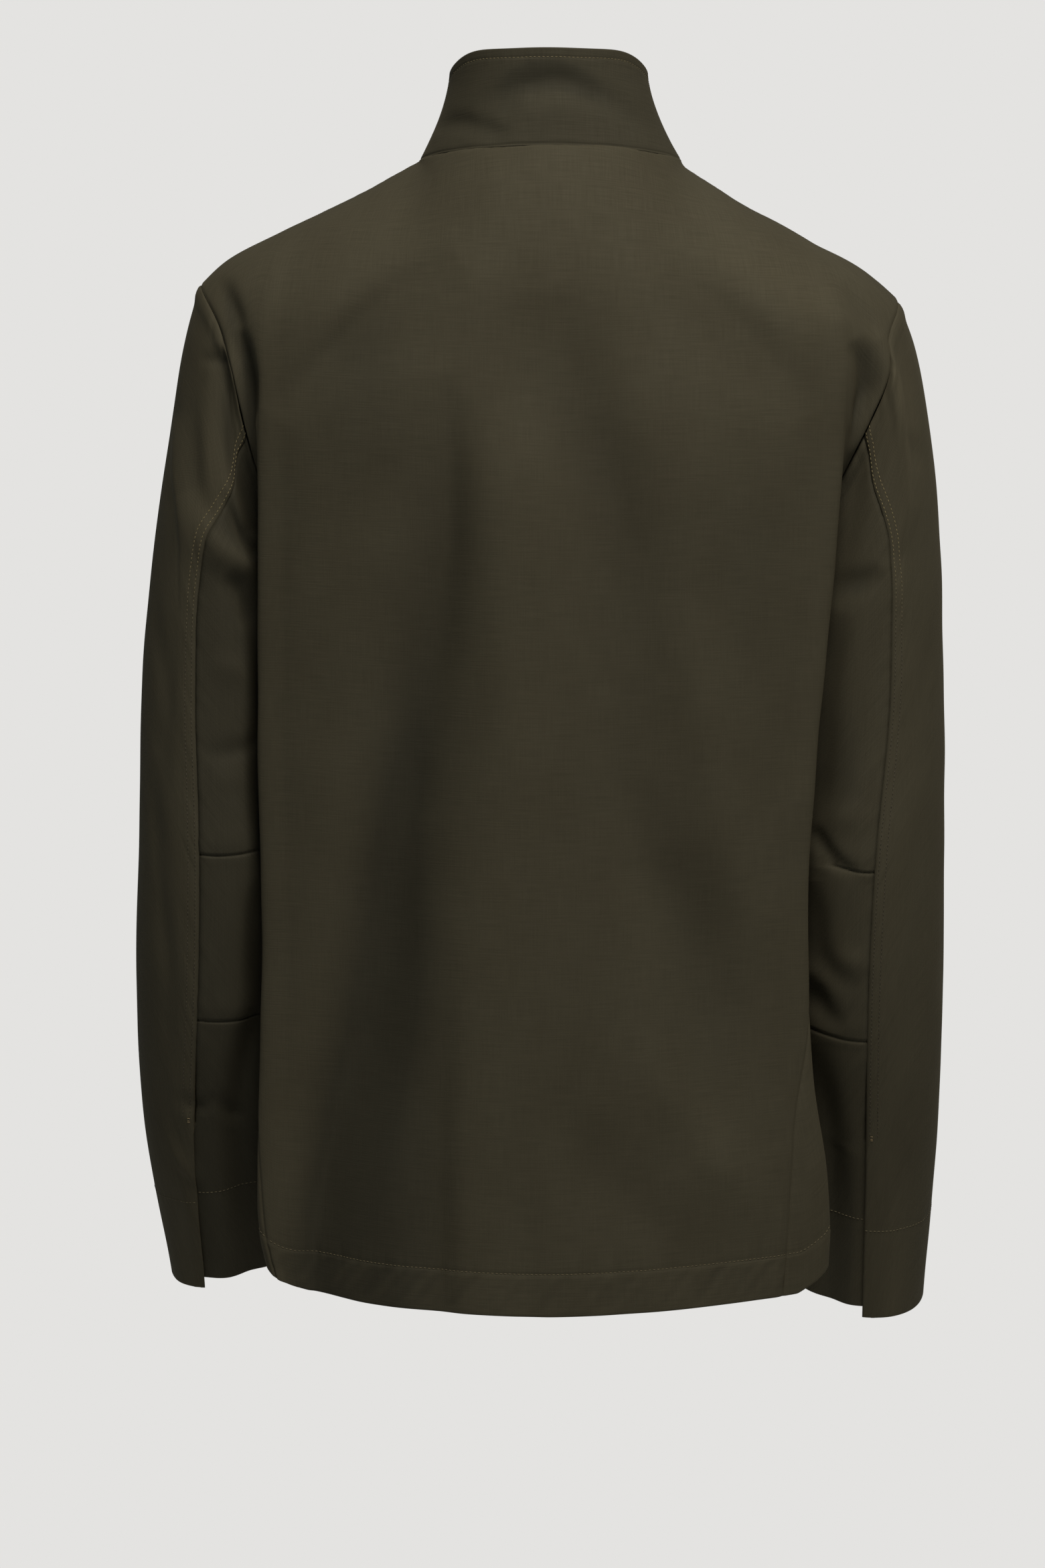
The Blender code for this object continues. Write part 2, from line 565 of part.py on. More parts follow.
def wall(name, outer, normals, cloth):
    """A closed wall of cloth between a grid of outer points and the same grid moved in."""
    rows, columns = outer.shape[:2]
    inner = outer - WALL * normals
    index = np.arange(rows * columns).reshape(rows, columns)
    quads = np.stack([index[:-1, :-1], index[:-1, 1:], index[1:, 1:], index[1:, :-1]], axis=-1).reshape(-1, 4)
    edge = np.concatenate([index[0], index[1:, -1], index[-1, -2::-1], index[-2:0:-1, 0]])
    if np.dot(np.cross(outer[0, 1] - outer[0, 0], outer[1, 0] - outer[0, 0]), normals[0, 0]) < 0:
        quads, edge = quads[:, ::-1], edge[::-1]
    following, inside = np.roll(edge, -1), rows * columns
    faces = quads.tolist()
    faces += (quads[:, ::-1] + inside).tolist()
    faces += np.stack([following, edge, edge + inside, following + inside], axis=-1).tolist()
    points = np.concatenate([outer.reshape(-1, 3), inner.reshape(-1, 3)]) * MM
    mesh = bpy.data.meshes.new(name)
    mesh.from_pydata(points.tolist(), [], faces)
    split_quads(mesh)
    mesh.shade_smooth()
    mesh.set_sharp_from_angle(angle=math.radians(SHARP_ANGLE))
    mesh.materials.append(cloth)
    bpy.context.collection.objects.link(bpy.data.objects.new(name, mesh))


def back_panel(cloth):
    halves = zip(panel_grid("right", 1), panel_grid("left", 1))
    points, normals = (across(right, left) for right, left in halves)
    facing = np.abs(normals[..., 1:2]) > 0.5  # the folds stay off the sides
    points = points - fold_depth(points[..., 0], points[..., 2])[..., None] * normals * facing
    half = SEAM_GAP / 2
    wall("back", trimmed(points, half, half, half), normals, cloth)


def front_panel(side, cloth):
    points, normals = panel_grid(side, -1)
    if side == "left":
        points = lapped(points)
    grid = trimmed(mirrored(points, side), last=SEAM_GAP / 2, top=SEAM_GAP / 2)
    wall(side + "_front", grid, mirrored(normals, side), cloth)


def collar(cloth):
    """The stand collar, its columns in line with those of the panels below it."""
    neck = SHARES[SHARES <= NECK_SHARE] / NECK_SHARE
    around = np.concatenate([90 * neck, (180 + LAP_ANGLE - (90 + LAP_ANGLE) * neck)[-2::-1]])
    angle, rise = np.meshgrid(around, np.linspace(0, 1, COLLAR_ROWS))
    halves = []
    for side in ("right", "left"):
        points = collar_point(side, angle, rise)
        normals = -outward(lambda a, r: collar_point(side, a, r), angle, rise, (0.1, 1e-3))
        if side == "left":
            points = lapped(points)
        points[0, :, 2] += SEAM_GAP
        halves.append((points, normals))
    wall("collar", *(across(right, left) for right, left in zip(*halves)), cloth)


def sleeve(side, part, cloth):
    points, normals = sleeve_grid(side, part)
    grid = trimmed(mirrored(points, side), first=SEAM_GAP / 2, last=SEAM_GAP / 2)
    wall(f"{side}_{part}_sleeve", grid, mirrored(normals, side), cloth)


def front_middle():
    """The line down the middle of the left front and of the collar above it, as places and heights, rising."""
    line = []
    for height in np.linspace(0, 2, 41):
        row = panel_row("left", height, np.linspace(0, 0.2, 21), -1)
        line.append([np.interp(0.0, row[:, 0], row[:, k]) for k in (1, 2)])
    line += [collar_point("left", 180.0, rise)[1:] for rise in np.linspace(0.1, 1, 10)]
    return np.array(line).T


def button_shape(plastic):
    """A round button lying flat, its back at height 0: a rim round a shallow dish with four holes."""
    bpy.ops.mesh.primitive_cylinder_add(
        vertices=BUTTON_SIDES, radius=BUTTON_RADIUS * MM, depth=BUTTON_THICKNESS * MM
    )
    made = bpy.context.object
    shape = bmesh.new()
    shape.from_mesh(made.data)
    top = max(shape.faces, key=lambda face: face.calc_center_median().z)
    bmesh.ops.inset_region(shape, faces=[top], thickness=BUTTON_RIM * MM)
    bmesh.ops.inset_region(shape, faces=[top], thickness=BUTTON_SLOPE * MM, depth=-BUTTON_DISH * MM)
    bmesh.ops.translate(shape, verts=shape.verts, vec=(0, 0, BUTTON_THICKNESS / 2 * MM))
    shape.to_mesh(made.data)
    shape.free()
    for quarter in range(4):
        turn = math.radians(45 + 90 * quarter)
        place = (math.cos(turn) * BUTTON_HOLE_SPREAD * MM, math.sin(turn) * BUTTON_HOLE_SPREAD * MM, 0)
        bpy.ops.mesh.primitive_cylinder_add(
            vertices=BUTTON_HOLE_SIDES, radius=BUTTON_HOLE_RADIUS * MM, depth=4 * BUTTON_THICKNESS * MM, location=place
        )
        drill = bpy.context.object
        hole = made.modifiers.new("hole", "BOOLEAN")
        hole.object = drill
        bpy.context.view_layer.objects.active = made
        bpy.ops.object.modifier_apply(modifier=hole.name)
        bpy.data.objects.remove(drill, do_unlink=True)
    mesh = made.data
    split_quads(mesh)
    mesh.materials.clear()
    mesh.materials.append(plastic)
    bpy.data.objects.remove(made)
    return mesh


def buttons(plastic):
    """The row of buttons on the left front and the collar."""
    shape = button_shape(plastic)
    y, z = front_middle()
    off = LAP_LIFT + SEAM_GAP + BUTTON_BOW
    for number, height in enumerate(BUTTON_HEIGHTS, 1):
        lower, upper = np.interp([height - BUTTON_RADIUS, height + BUTTON_RADIUS], z, y)
        lean = math.atan2(upper - lower, 2 * BUTTON_RADIUS)
        made = bpy.data.objects.new(f"button_{number}", shape)
        bpy.context.collection.objects.link(made)
        middle = (lower + upper) / 2 - math.cos(lean) * off
        made.location = (0, middle * MM, (height + math.sin(lean) * off) * MM)
        made.rotation_euler = (math.radians(90) - lean, 0, 0)


def main():
    for old in list(bpy.data.objects):
        bpy.data.objects.remove(old, do_unlink=True)
    cloth = material("olive_cotton_gabardine", (0.045, 0.037, 0.022), 0.8)
    back_panel(cloth)
    collar(cloth)
    for side in SIDES:
        front_panel(side, cloth)
        for part in ("top", "under"):
            sleeve(side, part, cloth)
    buttons(material("dark_olive_urea_plastic", (0.02, 0.017, 0.011), 0.45))


main()
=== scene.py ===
"""A field jacket in olive cotton gabardine, hollow, in the form that it has when it is worn.

Metres, +Z up, the wearer's front towards -Y. The cloth's form is in millimetres until its
mesh is made.
"""

import math

import bpy
import numpy as np
from mathutils import Matrix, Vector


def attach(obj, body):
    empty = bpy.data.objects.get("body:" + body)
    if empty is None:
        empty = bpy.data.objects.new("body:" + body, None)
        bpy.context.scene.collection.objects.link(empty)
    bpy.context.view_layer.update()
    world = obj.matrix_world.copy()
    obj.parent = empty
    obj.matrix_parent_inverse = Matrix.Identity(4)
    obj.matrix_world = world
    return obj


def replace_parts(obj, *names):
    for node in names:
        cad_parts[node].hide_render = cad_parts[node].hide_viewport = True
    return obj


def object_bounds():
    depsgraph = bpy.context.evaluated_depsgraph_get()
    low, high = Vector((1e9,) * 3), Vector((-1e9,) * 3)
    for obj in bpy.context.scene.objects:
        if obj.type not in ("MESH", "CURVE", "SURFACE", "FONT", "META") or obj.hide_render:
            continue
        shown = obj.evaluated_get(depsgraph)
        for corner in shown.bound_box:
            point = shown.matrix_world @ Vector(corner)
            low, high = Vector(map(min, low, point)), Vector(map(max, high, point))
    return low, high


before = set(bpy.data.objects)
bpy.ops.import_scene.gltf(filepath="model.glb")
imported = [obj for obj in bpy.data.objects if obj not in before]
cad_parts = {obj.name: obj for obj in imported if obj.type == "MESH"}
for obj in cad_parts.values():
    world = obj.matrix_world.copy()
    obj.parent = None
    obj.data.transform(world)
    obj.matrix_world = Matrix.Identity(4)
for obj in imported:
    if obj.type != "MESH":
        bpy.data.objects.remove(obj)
cad_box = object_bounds()


# ---- The room: camera, light and floor ----
# A pale studio with a broad soft light high on the wearer's right behind them, a weak one before them for the
# front alone, and pale walls that fill the rest. The camera stands 3 m behind the back and looks along -Y.
CAMERA_PLACE = (0.01462, 3.0, -0.397)
SENSOR_HEIGHT = 24.0  # millimetres
PICTURE_HEIGHT, PIXELS_PER_METRE = 2342, 2360
WALL_COLOUR = "E4E3E1"
FILL, FILL_COLOUR = 0.34, "D6DFE0"  # the light that the walls send back to the jacket
FLOOR_COLOUR = "E2E1DF"
FLOOR_LEVEL, FLOOR_RADIUS = -1.5, 3.0
FLOOR_GLOW = 0.55  # share of the floor's own paleness in what the camera sees of it
SOFTBOXES = (
    # name, place, aimed at, width, height, watts, colour
    ("key_softbox", (-0.44, 1.45, 1.85), (0.0, 0.1, -0.35), 1.2, 0.9, 172.0, (1.0, 0.905, 0.77)),
    ("front_softbox", (0.0, -2.6, -0.1), (0.0, 0.0, -0.35), 1.0, 1.4, 34.0, (1.0, 0.95, 0.88)),
)


def linear(colour):
    """An sRGB hex colour as linear red, green, blue and an alpha of 1."""
    parts = [int(colour[at : at + 2], 16) / 255 for at in (0, 2, 4)]
    return [c / 12.92 if c <= 0.04045 else ((c + 0.055) / 1.055) ** 2.4 for c in parts] + [1.0]


def add(tree, kind, sockets=(), **settings):
    """Adds a shader node. sockets: an input's name or number, and its value or what feeds it."""
    made = tree.nodes.new("ShaderNode" + kind)
    for name, value in settings.items():
        setattr(made, name, value)
    for name, value in dict(sockets).items():
        if isinstance(value, bpy.types.NodeSocket):
            tree.links.new(value, made.inputs[name])
        else:
            made.inputs[name].default_value = value
    return made


def new_material(name):
    """An empty material: its node tree and its output node."""
    made = bpy.data.materials.new(name)
    made.use_nodes = True
    made.node_tree.nodes.clear()
    return made, made.node_tree, add(made.node_tree, "OutputMaterial")


def link_object(name, data):
    made = bpy.data.objects.new(name, data)
    bpy.context.collection.objects.link(made)
    return made


scene = bpy.context.scene
scene.view_settings.view_transform = "Standard"

camera_data = bpy.data.cameras.new("camera")
camera_data.sensor_fit = "VERTICAL"
camera_data.sensor_height = SENSOR_HEIGHT
camera_data.lens = PIXELS_PER_METRE * CAMERA_PLACE[1] / PICTURE_HEIGHT * SENSOR_HEIGHT
camera = link_object("camera", camera_data)
camera.location = CAMERA_PLACE
camera.rotation_euler = (math.pi / 2, 0, math.pi)
scene.camera = camera

world = bpy.data.worlds.new("pale_room")
world.use_nodes = True
world.node_tree.nodes.clear()
seen = add(world.node_tree, "LightPath").outputs["Is Camera Ray"]
fill = add(world.node_tree, "Background", {0: linear(FILL_COLOUR), 1: FILL}).outputs[0]
wall = add(world.node_tree, "Background", {0: linear(WALL_COLOUR)}).outputs[0]
both = add(world.node_tree, "MixShader", {0: seen, 1: fill, 2: wall})
add(world.node_tree, "OutputWorld", {0: both.outputs[0]})
scene.world = world

for name, place, aim, width, height, watts, colour in SOFTBOXES:
    lamp = bpy.data.lights.new(name, "AREA")
    lamp.shape, lamp.size, lamp.size_y, lamp.energy = "RECTANGLE", width, height, watts
    lamp.color = colour
    softbox = link_object(name, lamp)
    softbox.location = place
    way = [a - b for a, b in zip(aim, place)]
    flat_way = math.hypot(way[0], way[1])
    softbox.rotation_euler = (math.atan2(flat_way, -way[2]), 0, math.atan2(way[1], way[0]) - math.pi / 2)

bpy.ops.object.select_all(action="DESELECT")
bpy.ops.mesh.primitive_circle_add(
    vertices=96, radius=FLOOR_RADIUS, fill_type="NGON", location=(0, 0, FLOOR_LEVEL)
)
floor = bpy.context.object
floor.name = "floor"
paint, tree, output = new_material("matt_painted_floor")
shader = add(tree, "BsdfPrincipled", {"Base Color": linear(FLOOR_COLOUR), "Roughness": 0.9})
glow = add(tree, "Emission", {0: linear(FLOOR_COLOUR), 1: 1.0})
seen = add(tree, "LightPath").outputs["Is Camera Ray"]
share = add(tree, "Math", {0: seen, 1: FLOOR_GLOW}, operation="MULTIPLY").outputs[0]
shader = add(tree, "MixShader", {0: share, 1: shader.outputs[0], 2: glow.outputs[0]})
tree.links.new(shader.outputs[0], output.inputs[0])
floor.data.materials.append(paint)


# ---- The cloth ----
# Dense olive cotton gabardine with low sheen. Warp and weft are dyed in two close shades, and thicker slubs
# run along both, which gives a faint cross-hatch. The weave follows each piece's own grain, in its UV map.
MM = 0.001
THREAD_PITCH = 0.9 * MM  # real threads lie 0.3 mm apart, too fine to show, so these are drawn coarser
SLUB_WIDTH, SLUB_LENGTH = 0.8 * MM, 22 * MM
CLOUD_SIZE = 45 * MM  # slow changes of shade from the dye
WARP_COLOURS = ("2C2A21", "323026")
WEFT_COLOURS = ("2D2B22", "363329")
SPREAD_FROM, SPREAD_TO = 0.3, 0.7  # values of a noise that are spread to none and full
CLOUD_TINT, CLOUD_SHARE = (0.7, 0.66, 0.6, 1.0), 0.35
DEEPEST_PAINTED_SHADE = (0.42, 0.44, 0.46, 1.0)  # painted shade: the tint multiplied into the colour where it is deepest
WEAVE_STRENGTH, WEAVE_HEIGHT = 0.35, 0.12 * MM
CLOTH_ROUGHNESS, ROUGHNESS_SPREAD = 0.82, 0.06
CLOTH_SPECULAR, CLOTH_SHEEN, SHEEN_ROUGHNESS, SHEEN_COLOUR = 0.08, 0.05, 0.5, "8A8064"


def cloth_material(name, colours_along, colours_across):
    made, tree, output = new_material(name)
    grain = add(tree, "UVMap", uv_map="grain").outputs[0]

    def streaks(scale_u, scale_v, seed):
        placed = add(tree, "Mapping", {0: grain, "Location": (seed, seed, 0), "Scale": (scale_u, scale_v, 1)})
        return add(tree, "TexNoise", {0: placed.outputs[0], "Scale": 1.0, "Detail": 2.0}).outputs[0]

    def mixed(factor, first, second, blend="MIX"):
        node = add(tree, "Mix", {"Factor": factor}, data_type="RGBA", blend_type=blend)
        for socket, value in (("A_Color", first), ("B_Color", second)):
            target = next(s for s in node.inputs if s.identifier == socket)
            if isinstance(value, bpy.types.NodeSocket):
                tree.links.new(value, target)
            else:
                target.default_value = value
        return next(s for s in node.outputs if s.identifier == "Result_Color")

    def calc(operation, first, second=0.0):
        return add(tree, "Math", {0: first, 1: second}, operation=operation).outputs[0]

    def spread(value, low, high):
        return add(tree, "MapRange", {0: value, 1: low, 2: high, 3: 0.0, 4: 1.0}).outputs[0]

    along = spread(streaks(1 / SLUB_WIDTH, 1 / SLUB_LENGTH, 3.0), SPREAD_FROM, SPREAD_TO)
    across = spread(streaks(1 / SLUB_LENGTH, 1 / SLUB_WIDTH, 11.0), SPREAD_FROM, SPREAD_TO)
    cloud = spread(streaks(1 / CLOUD_SIZE, 0.6 / CLOUD_SIZE, 5.0), SPREAD_FROM, SPREAD_TO)
    split = add(tree, "SeparateXYZ", {0: grain})
    turns = [calc("SINE", calc("MULTIPLY", way, 2 * math.pi / THREAD_PITCH)) for way in split.outputs[:2]]
    weave = calc("MULTIPLY_ADD", calc("MULTIPLY", *turns), 0.5)
    weave.node.inputs[2].default_value = 0.5
    warp = mixed(along, *(linear(c) for c in colours_along))
    weft = mixed(across, *(linear(c) for c in colours_across))
    threads = mixed(weave, warp, weft)
    white = linear("FFFFFF")
    shaded = mixed(CLOUD_SHARE, threads, mixed(cloud, CLOUD_TINT, white), "MULTIPLY")
    # Painted shade and painted highlight: a point attribute from -1 to 1 keeps the colour whole at -1 and
    # multiplies in the deepest shade's tint at 1, darker in folds, seams and shaded parts, paler on lit
    # ridges.
    painted_light = add(tree, "Attribute", attribute_name="painted_light").outputs["Fac"]
    shaded = mixed(1.0, shaded, mixed(spread(painted_light, -1.0, 1.0), white, DEEPEST_PAINTED_SHADE), "MULTIPLY")
    height = calc("ADD", weave, calc("ADD", along, across))
    bump = add(tree, "Bump", {"Strength": WEAVE_STRENGTH, "Distance": WEAVE_HEIGHT, "Height": height})
    matt, shiny = CLOTH_ROUGHNESS + ROUGHNESS_SPREAD, CLOTH_ROUGHNESS - ROUGHNESS_SPREAD
    shine = add(tree, "MapRange", {0: calc("ADD", along, across), 1: 0.0, 2: 2.0, 3: matt, 4: shiny})
    shader = add(
        tree,
        "BsdfPrincipled",
        {
            "Base Color": shaded,
            "Roughness": shine.outputs[0],
            "Normal": bump.outputs[0],
            "Specular IOR Level": CLOTH_SPECULAR,
            "Sheen Weight": CLOTH_SHEEN,
            "Sheen Roughness": SHEEN_ROUGHNESS,
            "Sheen Tint": linear(SHEEN_COLOUR),
        },
    )
    tree.links.new(shader.outputs[0], output.inputs[0])
    return made


gabardine = cloth_material("olive_cotton_gabardine", WARP_COLOURS, WEFT_COLOURS)


# ---- The back ----
# One piece of gabardine from the collar seam to the hem, cut without a middle seam. It hangs from the
# shoulders in long soft folds. Its form comes from sections of the body, the armholes and the shoulder seams.
WALL = 1.5  # cloth with what is folded in behind it
INNER_STEP = 3  # the wall's inner grid keeps every third line of the outer one
SEAM_GAP = 0.3
ROUND = 0.9  # radius by which a folded edge is rounded
LEAST_FULL = 0.02  # square of the share of the wall that is left at such an edge
PAINTED_SHADE_FULL, PAINTED_SHADE_CURVE = 20.0, 1.6  # depth at which the painted shade is full, and its curve
LAP = 20.0
NECK_WIDTH = {"left": 80.0, "right": 86.0}
NECK_DEPTH, NECK_MIDDLE_Y = 68.0, -6.0
NECK_FRONT_DROP, NECK_FRONT_CURVE, NECK_SIDE_DROP = 42.0, 1.4, 2.0
NECK_SHARE = 0.36  # where a panel's top row turns from the neckline to the shoulder seam
LAP_ANGLE = math.degrees(math.asin(LAP / NECK_WIDTH["left"]))
HEM_RISE, HEM_HALF_WIDTH, HEM_CURVE = 12.5, 170.0, 1.6
HEM_CORNER_RISE, HEM_CORNER_Y, HEM_FRONT_X, HEM_RISE_REACH = 13.0, (70.0, 12.0), (20.0, 110.0), 150.0
YOKE_LEVEL = -130.0  # above this height the rows of a panel turn to follow the shoulder
YOKE_START, NECK_ARRIVAL, RIDGE_ARRIVAL = (0.3, 0.1, 1.3), (1.0, 1.4, 0.75), (0.6, 1.6, 0.15)
RIDGE_BLEND, YOKE_EDGE = (0.12, 0.55), 0.6
YOKE_SOFT, NECK_SOFT, NECK_SOFT_START = 0.12, 0.1, 0.9  # where a panel's bends are softened
SOFT_MARGIN, SOFT_ROUNDS = 25, 120
UNDERARM_REACH = 70.0
BACK_KNEE, FRONT_KNEES, KNEE_MARGIN = 0.72, (0.5, 0.84), 9.0
BACK_SEARCH, FRONT_SEARCH, SEARCH_STEPS = (-20.0, 90.0), (30.0, 90.0), 221
HOLE_MIDDLE, HOLE_AXIS = (185.0, -5.0, -165.0), (0.9, 0.0, -0.43)
CAP_TURN, CAP_FADE = 125.0, 45.0
SIDES = {"left": 1.0, "right": -1.0}


def table(names, rows):
    """The columns of a table, by name."""
    return dict(zip(names.split(), np.array(rows, float).T))


# Sections of the body. back, front: the middle of the back and front. corner: the soft edge behind the arm.
# wall: the side, which the arm presses in. fcorner: the edge before the arm. seam: the side seam's distance
# along the cloth from the corner, forwards.
BODY = table(
    "z back corner_left corner_right corner_y wall_x wall_y fcorner_x fcorner_y front seam_left seam_right",
    [
        (-723, 104, 173, 175, 58, 148, -34, 158, -84, -112, -9, -33),
        (-690, 104, 178, 176, 59, 149, -32, 160, -82, -113, -8, -31),
        (-640, 103, 179, 174, 60, 150, -26, 162, -80, -114, -4, -25),
        (-580, 102, 178, 166, 59, 151, -16, 163, -78, -115, 6, -11),
        (-520, 101, 176, 163, 59, 151, -6, 163, -76, -115, 20, 5),
        (-450, 100, 177, 163, 60, 150, 0, 162, -74, -115, 36, 25),
        (-380, 102, 179, 168, 61, 148, 0, 162, -74, -116, 50, 45),
        (-310, 105, 179, 175, 61, 146, -2, 163, -76, -118, 60, 60),
        (-250, 108, 179, 180, 61, 147, -4, 166, -78, -119, 66, 72),
        (-200, 108, 179, 184, 62, 152, -5, 170, -78, -117, 60, 66),
        (-165, 105, 180, 187, 63, 160, -6, 174, -76, -112, 50, 50),
        (-130, 99, 183, 191, 62, 170, -6, 178, -72, -103, 40, 40),
        (-100, 91, 190, 200, 56, 180, -6, 182, -66, -92, 30, 30),
    ],
)
HEM = BODY["z"][0]
BULGE_SHARES = np.array([0.0, 0.3, 0.55, 0.75, 0.9, 1.0])
BACK_BULGE, FRONT_BULGE = 2.4, 2.6
SIDE_POINTS = (("corner", -4, -9), ("wall", 7, 38), ("wall", 0, 0), ("wall", 5, -34), ("fcorner", -3, 12))

# The armhole, round from the shoulder's tip over the back: turn is the angle round the sleeve.
ARMHOLE = table(
    "turn left_x right_x y left_z right_z",
    [
        (0, 218, 222, -5, -81, -91),
        (30, 215, 221, 22, -89, -99),
        (60, 203, 214, 43, -114, -119),
        (85, 195, 214, 51, -142, -142),
        (110, 188, 202, 49, -174, -172),
        (132, 178, 186, 42, -204, -202),
        (156, 162, 163, 24, -236, -238),
        (180, 150, 150, -4, -250, -250),
        (204, 153, 153, -34, -238, -241),
        (230, 166, 167, -58, -206, -209),
        (270, 184, 188, -69, -155, -160),
        (305, 202, 207, -55, -115, -122),
        (332, 212, 217, -32, -91, -100),
    ],
)

# The shoulder seam from the neck to the tip.
SHOULDER = table(
    "share left_x left_z right_x right_z",
    [
        (0.0, 80, -2, 86, -4),
        (0.3, 124, -26, 123, -28),
        (0.6, 167, -47, 166, -52),
        (0.85, 202, -66, 203, -73),
        (1.0, 218, -81, 222, -91),
    ],
)

# Lines of a panel: shares across it from the middle to the edge, and heights, 0 at the hem, 1 at YOKE_LEVEL,
# 2 at the top. They lie closer at its edges and along the hem's stitches.
HEM_STITCH = 26.0
SHARE_STOPS = (
    (NECK_SHARE, 46), (FRONT_KNEES[0], 20), (BACK_KNEE, 34), (FRONT_KNEES[1], 21), (0.985, 22), (1.0, 6),
)
HEM_LINES = (
    0, 0.12, 0.35, 0.9, 2, 4, 7, 10.5, 14, 17.5, 20.5, 22.5, 24, 25, 25.6, 26, 26.4, 27, 28, 29.5, 31.5, 34,
)
YOKE_LINES = (0.03, 0.015, 0.007, 0.0)  # below the top
BODY_ROWS, YOKE_ROWS = 190, 46  # from the hem's lines to YOKE_LEVEL, and from there to the top


def stops(start, marks):
    line = [start]
    for mark, count in marks:
        line += list(np.linspace(line[-1], mark, count + 1)[1:])
    return np.array(line)


SHARES = stops(0.0, SHARE_STOPS)
HEIGHTS = np.concatenate(
    [
        np.array(HEM_LINES) / (YOKE_LEVEL - HEM),
        np.linspace(HEM_LINES[-1] / (YOKE_LEVEL - HEM), 1, BODY_ROWS)[1:],
        np.linspace(1, 2 - YOKE_LINES[0], YOKE_ROWS)[1:],
        2 - np.array(YOKE_LINES[1:]),
    ]
)


def through(x, xs, ys):
    """A smooth curve through the points (xs, ys), read at x."""
    slope = np.gradient(ys, xs)
    i = np.clip(np.searchsorted(xs, x) - 1, 0, len(xs) - 2)
    width = xs[i + 1] - xs[i]
    t = (x - xs[i]) / width
    start = (2 * t**3 - 3 * t**2 + 1) * ys[i] + (t**3 - 2 * t**2 + t) * width * slope[i]
    return start + (3 * t**2 - 2 * t**3) * ys[i + 1] + (t**3 - t**2) * width * slope[i + 1]


def ease(x):
    """0 below 0, 1 above 1, and smooth between them."""
    t = np.clip(x, 0.0, 1.0)
    return t * t * (3 - 2 * t)


def stack(x, y, z):
    x, y, z = np.broadcast_arrays(x, y, z)
    return np.stack([x, y, z], axis=-1).astype(float)


def unit(vectors):
    return vectors / np.linalg.norm(vectors, axis=-1, keepdims=True)


def armhole(side, turn):
    """Points of the armhole at angles round the sleeve, before the side's sign."""
    around = np.concatenate([ARMHOLE["turn"] - 360, ARMHOLE["turn"], ARMHOLE["turn"] + 360])
    columns = [np.tile(ARMHOLE[name], 3) for name in (side + "_x", "y", side + "_z")]
    return stack(*(through(turn, around, column) for column in columns))


def armhole_turn(side, z, over):
    """The angle at which the armhole reaches a height, on its back (over = 1) or its front (over = -1)."""
    turn = np.linspace(180, 0, 181) if over > 0 else np.linspace(180, 360, 181)
    return np.interp(z, armhole(side, turn)[:, 2], turn)


def section(side, z):
    """The body's section on one side at a height: lengths along it, its points from back to front, the
    lengths of its back and front corners, and the seam's distance from the back one."""
    row = {name: float(through(z, BODY["z"], column)) for name, column in BODY.items()}
    beside = {name: (row[name + "_x"], row[name + "_y"]) for name in ("wall", "fcorner")}
    beside["corner"] = (row["corner_" + side], row["corner_y"])
    back_y = row["corner_y"] + (row["back"] - row["corner_y"]) * (1 - BULGE_SHARES**BACK_BULGE)
    front_y = row["fcorner_y"] + (row["front"] - row["fcorner_y"]) * (1 - BULGE_SHARES**FRONT_BULGE)
    points = list(zip(BULGE_SHARES * beside["corner"][0], back_y))
    points += [(beside[name][0] + out, beside[name][1] + behind) for name, out, behind in SIDE_POINTS]
    points += list(zip((BULGE_SHARES * row["fcorner_x"])[::-1], front_y[::-1]))
    points = np.array(points + [(-LAP, front_y[0])])
    along = np.concatenate([[0], np.cumsum(np.linalg.norm(np.diff(points, axis=0), axis=1))])
    corner = len(BULGE_SHARES) - 1
    return along, points, along[corner], along[corner + len(SIDE_POINTS) + 1], row["seam_" + side]


def on_section(along, points, at):
    return np.stack([through(at, along, points[:, k]) for k in (0, 1)], axis=-1)


def panel_edge(side, z, over, along, points, corner, seam):
    """Where a panel ends along the section, and how far its end then moves to lie on the armhole."""
    underarm = ARMHOLE[side + "_z"].min()
    target = armhole(side, armhole_turn(side, max(z, underarm), over))[:2]
    if over > 0 or z < underarm:
        tries = np.linspace(corner + BACK_SEARCH[0], corner + BACK_SEARCH[1], SEARCH_STEPS)
    else:
        tries = np.linspace(corner + FRONT_SEARCH[0], along[-1] - FRONT_SEARCH[1], SEARCH_STEPS)
    gaps = np.linalg.norm(on_section(along, points, tries) - target, axis=1)
    best = np.clip(gaps.argmin(), 1, len(tries) - 2)
    near, mid, far = gaps[best - 1 : best + 2] ** 2
    met = tries[best] + (tries[1] - tries[0]) * np.clip((near - far) / (2 * (near - 2 * mid + far)), -1, 1)
    near = ease(1 - (underarm - z) / UNDERARM_REACH)
    edge = (corner + seam) * (1 - near) + met * near
    return edge, near * (target - on_section(along, points, met))


def level_row(side, z, share, over):
    """A row of the back (over = 1) or front (over = -1) at a height. share: 0 in its middle, 1 at its end."""
    along, points, corner, front_corner, seam = section(side, z)
    edge, fix = panel_edge(side, z, over, along, points, corner, seam)
    if over > 0:
        at = np.interp(share, [0, BACK_KNEE, 1], [0, min(corner, edge - KNEE_MARGIN), edge])
    else:
        knee = max(corner, edge + KNEE_MARGIN)
        at = np.interp(share, [0, *FRONT_KNEES, 1], [along[-1], front_corner, knee, edge])
    flat = on_section(along, points, at)
    flat = flat + ease((share - BACK_KNEE) / (1 - BACK_KNEE))[:, None] ** 2 * fix
    return stack(flat[:, 0], flat[:, 1], z)


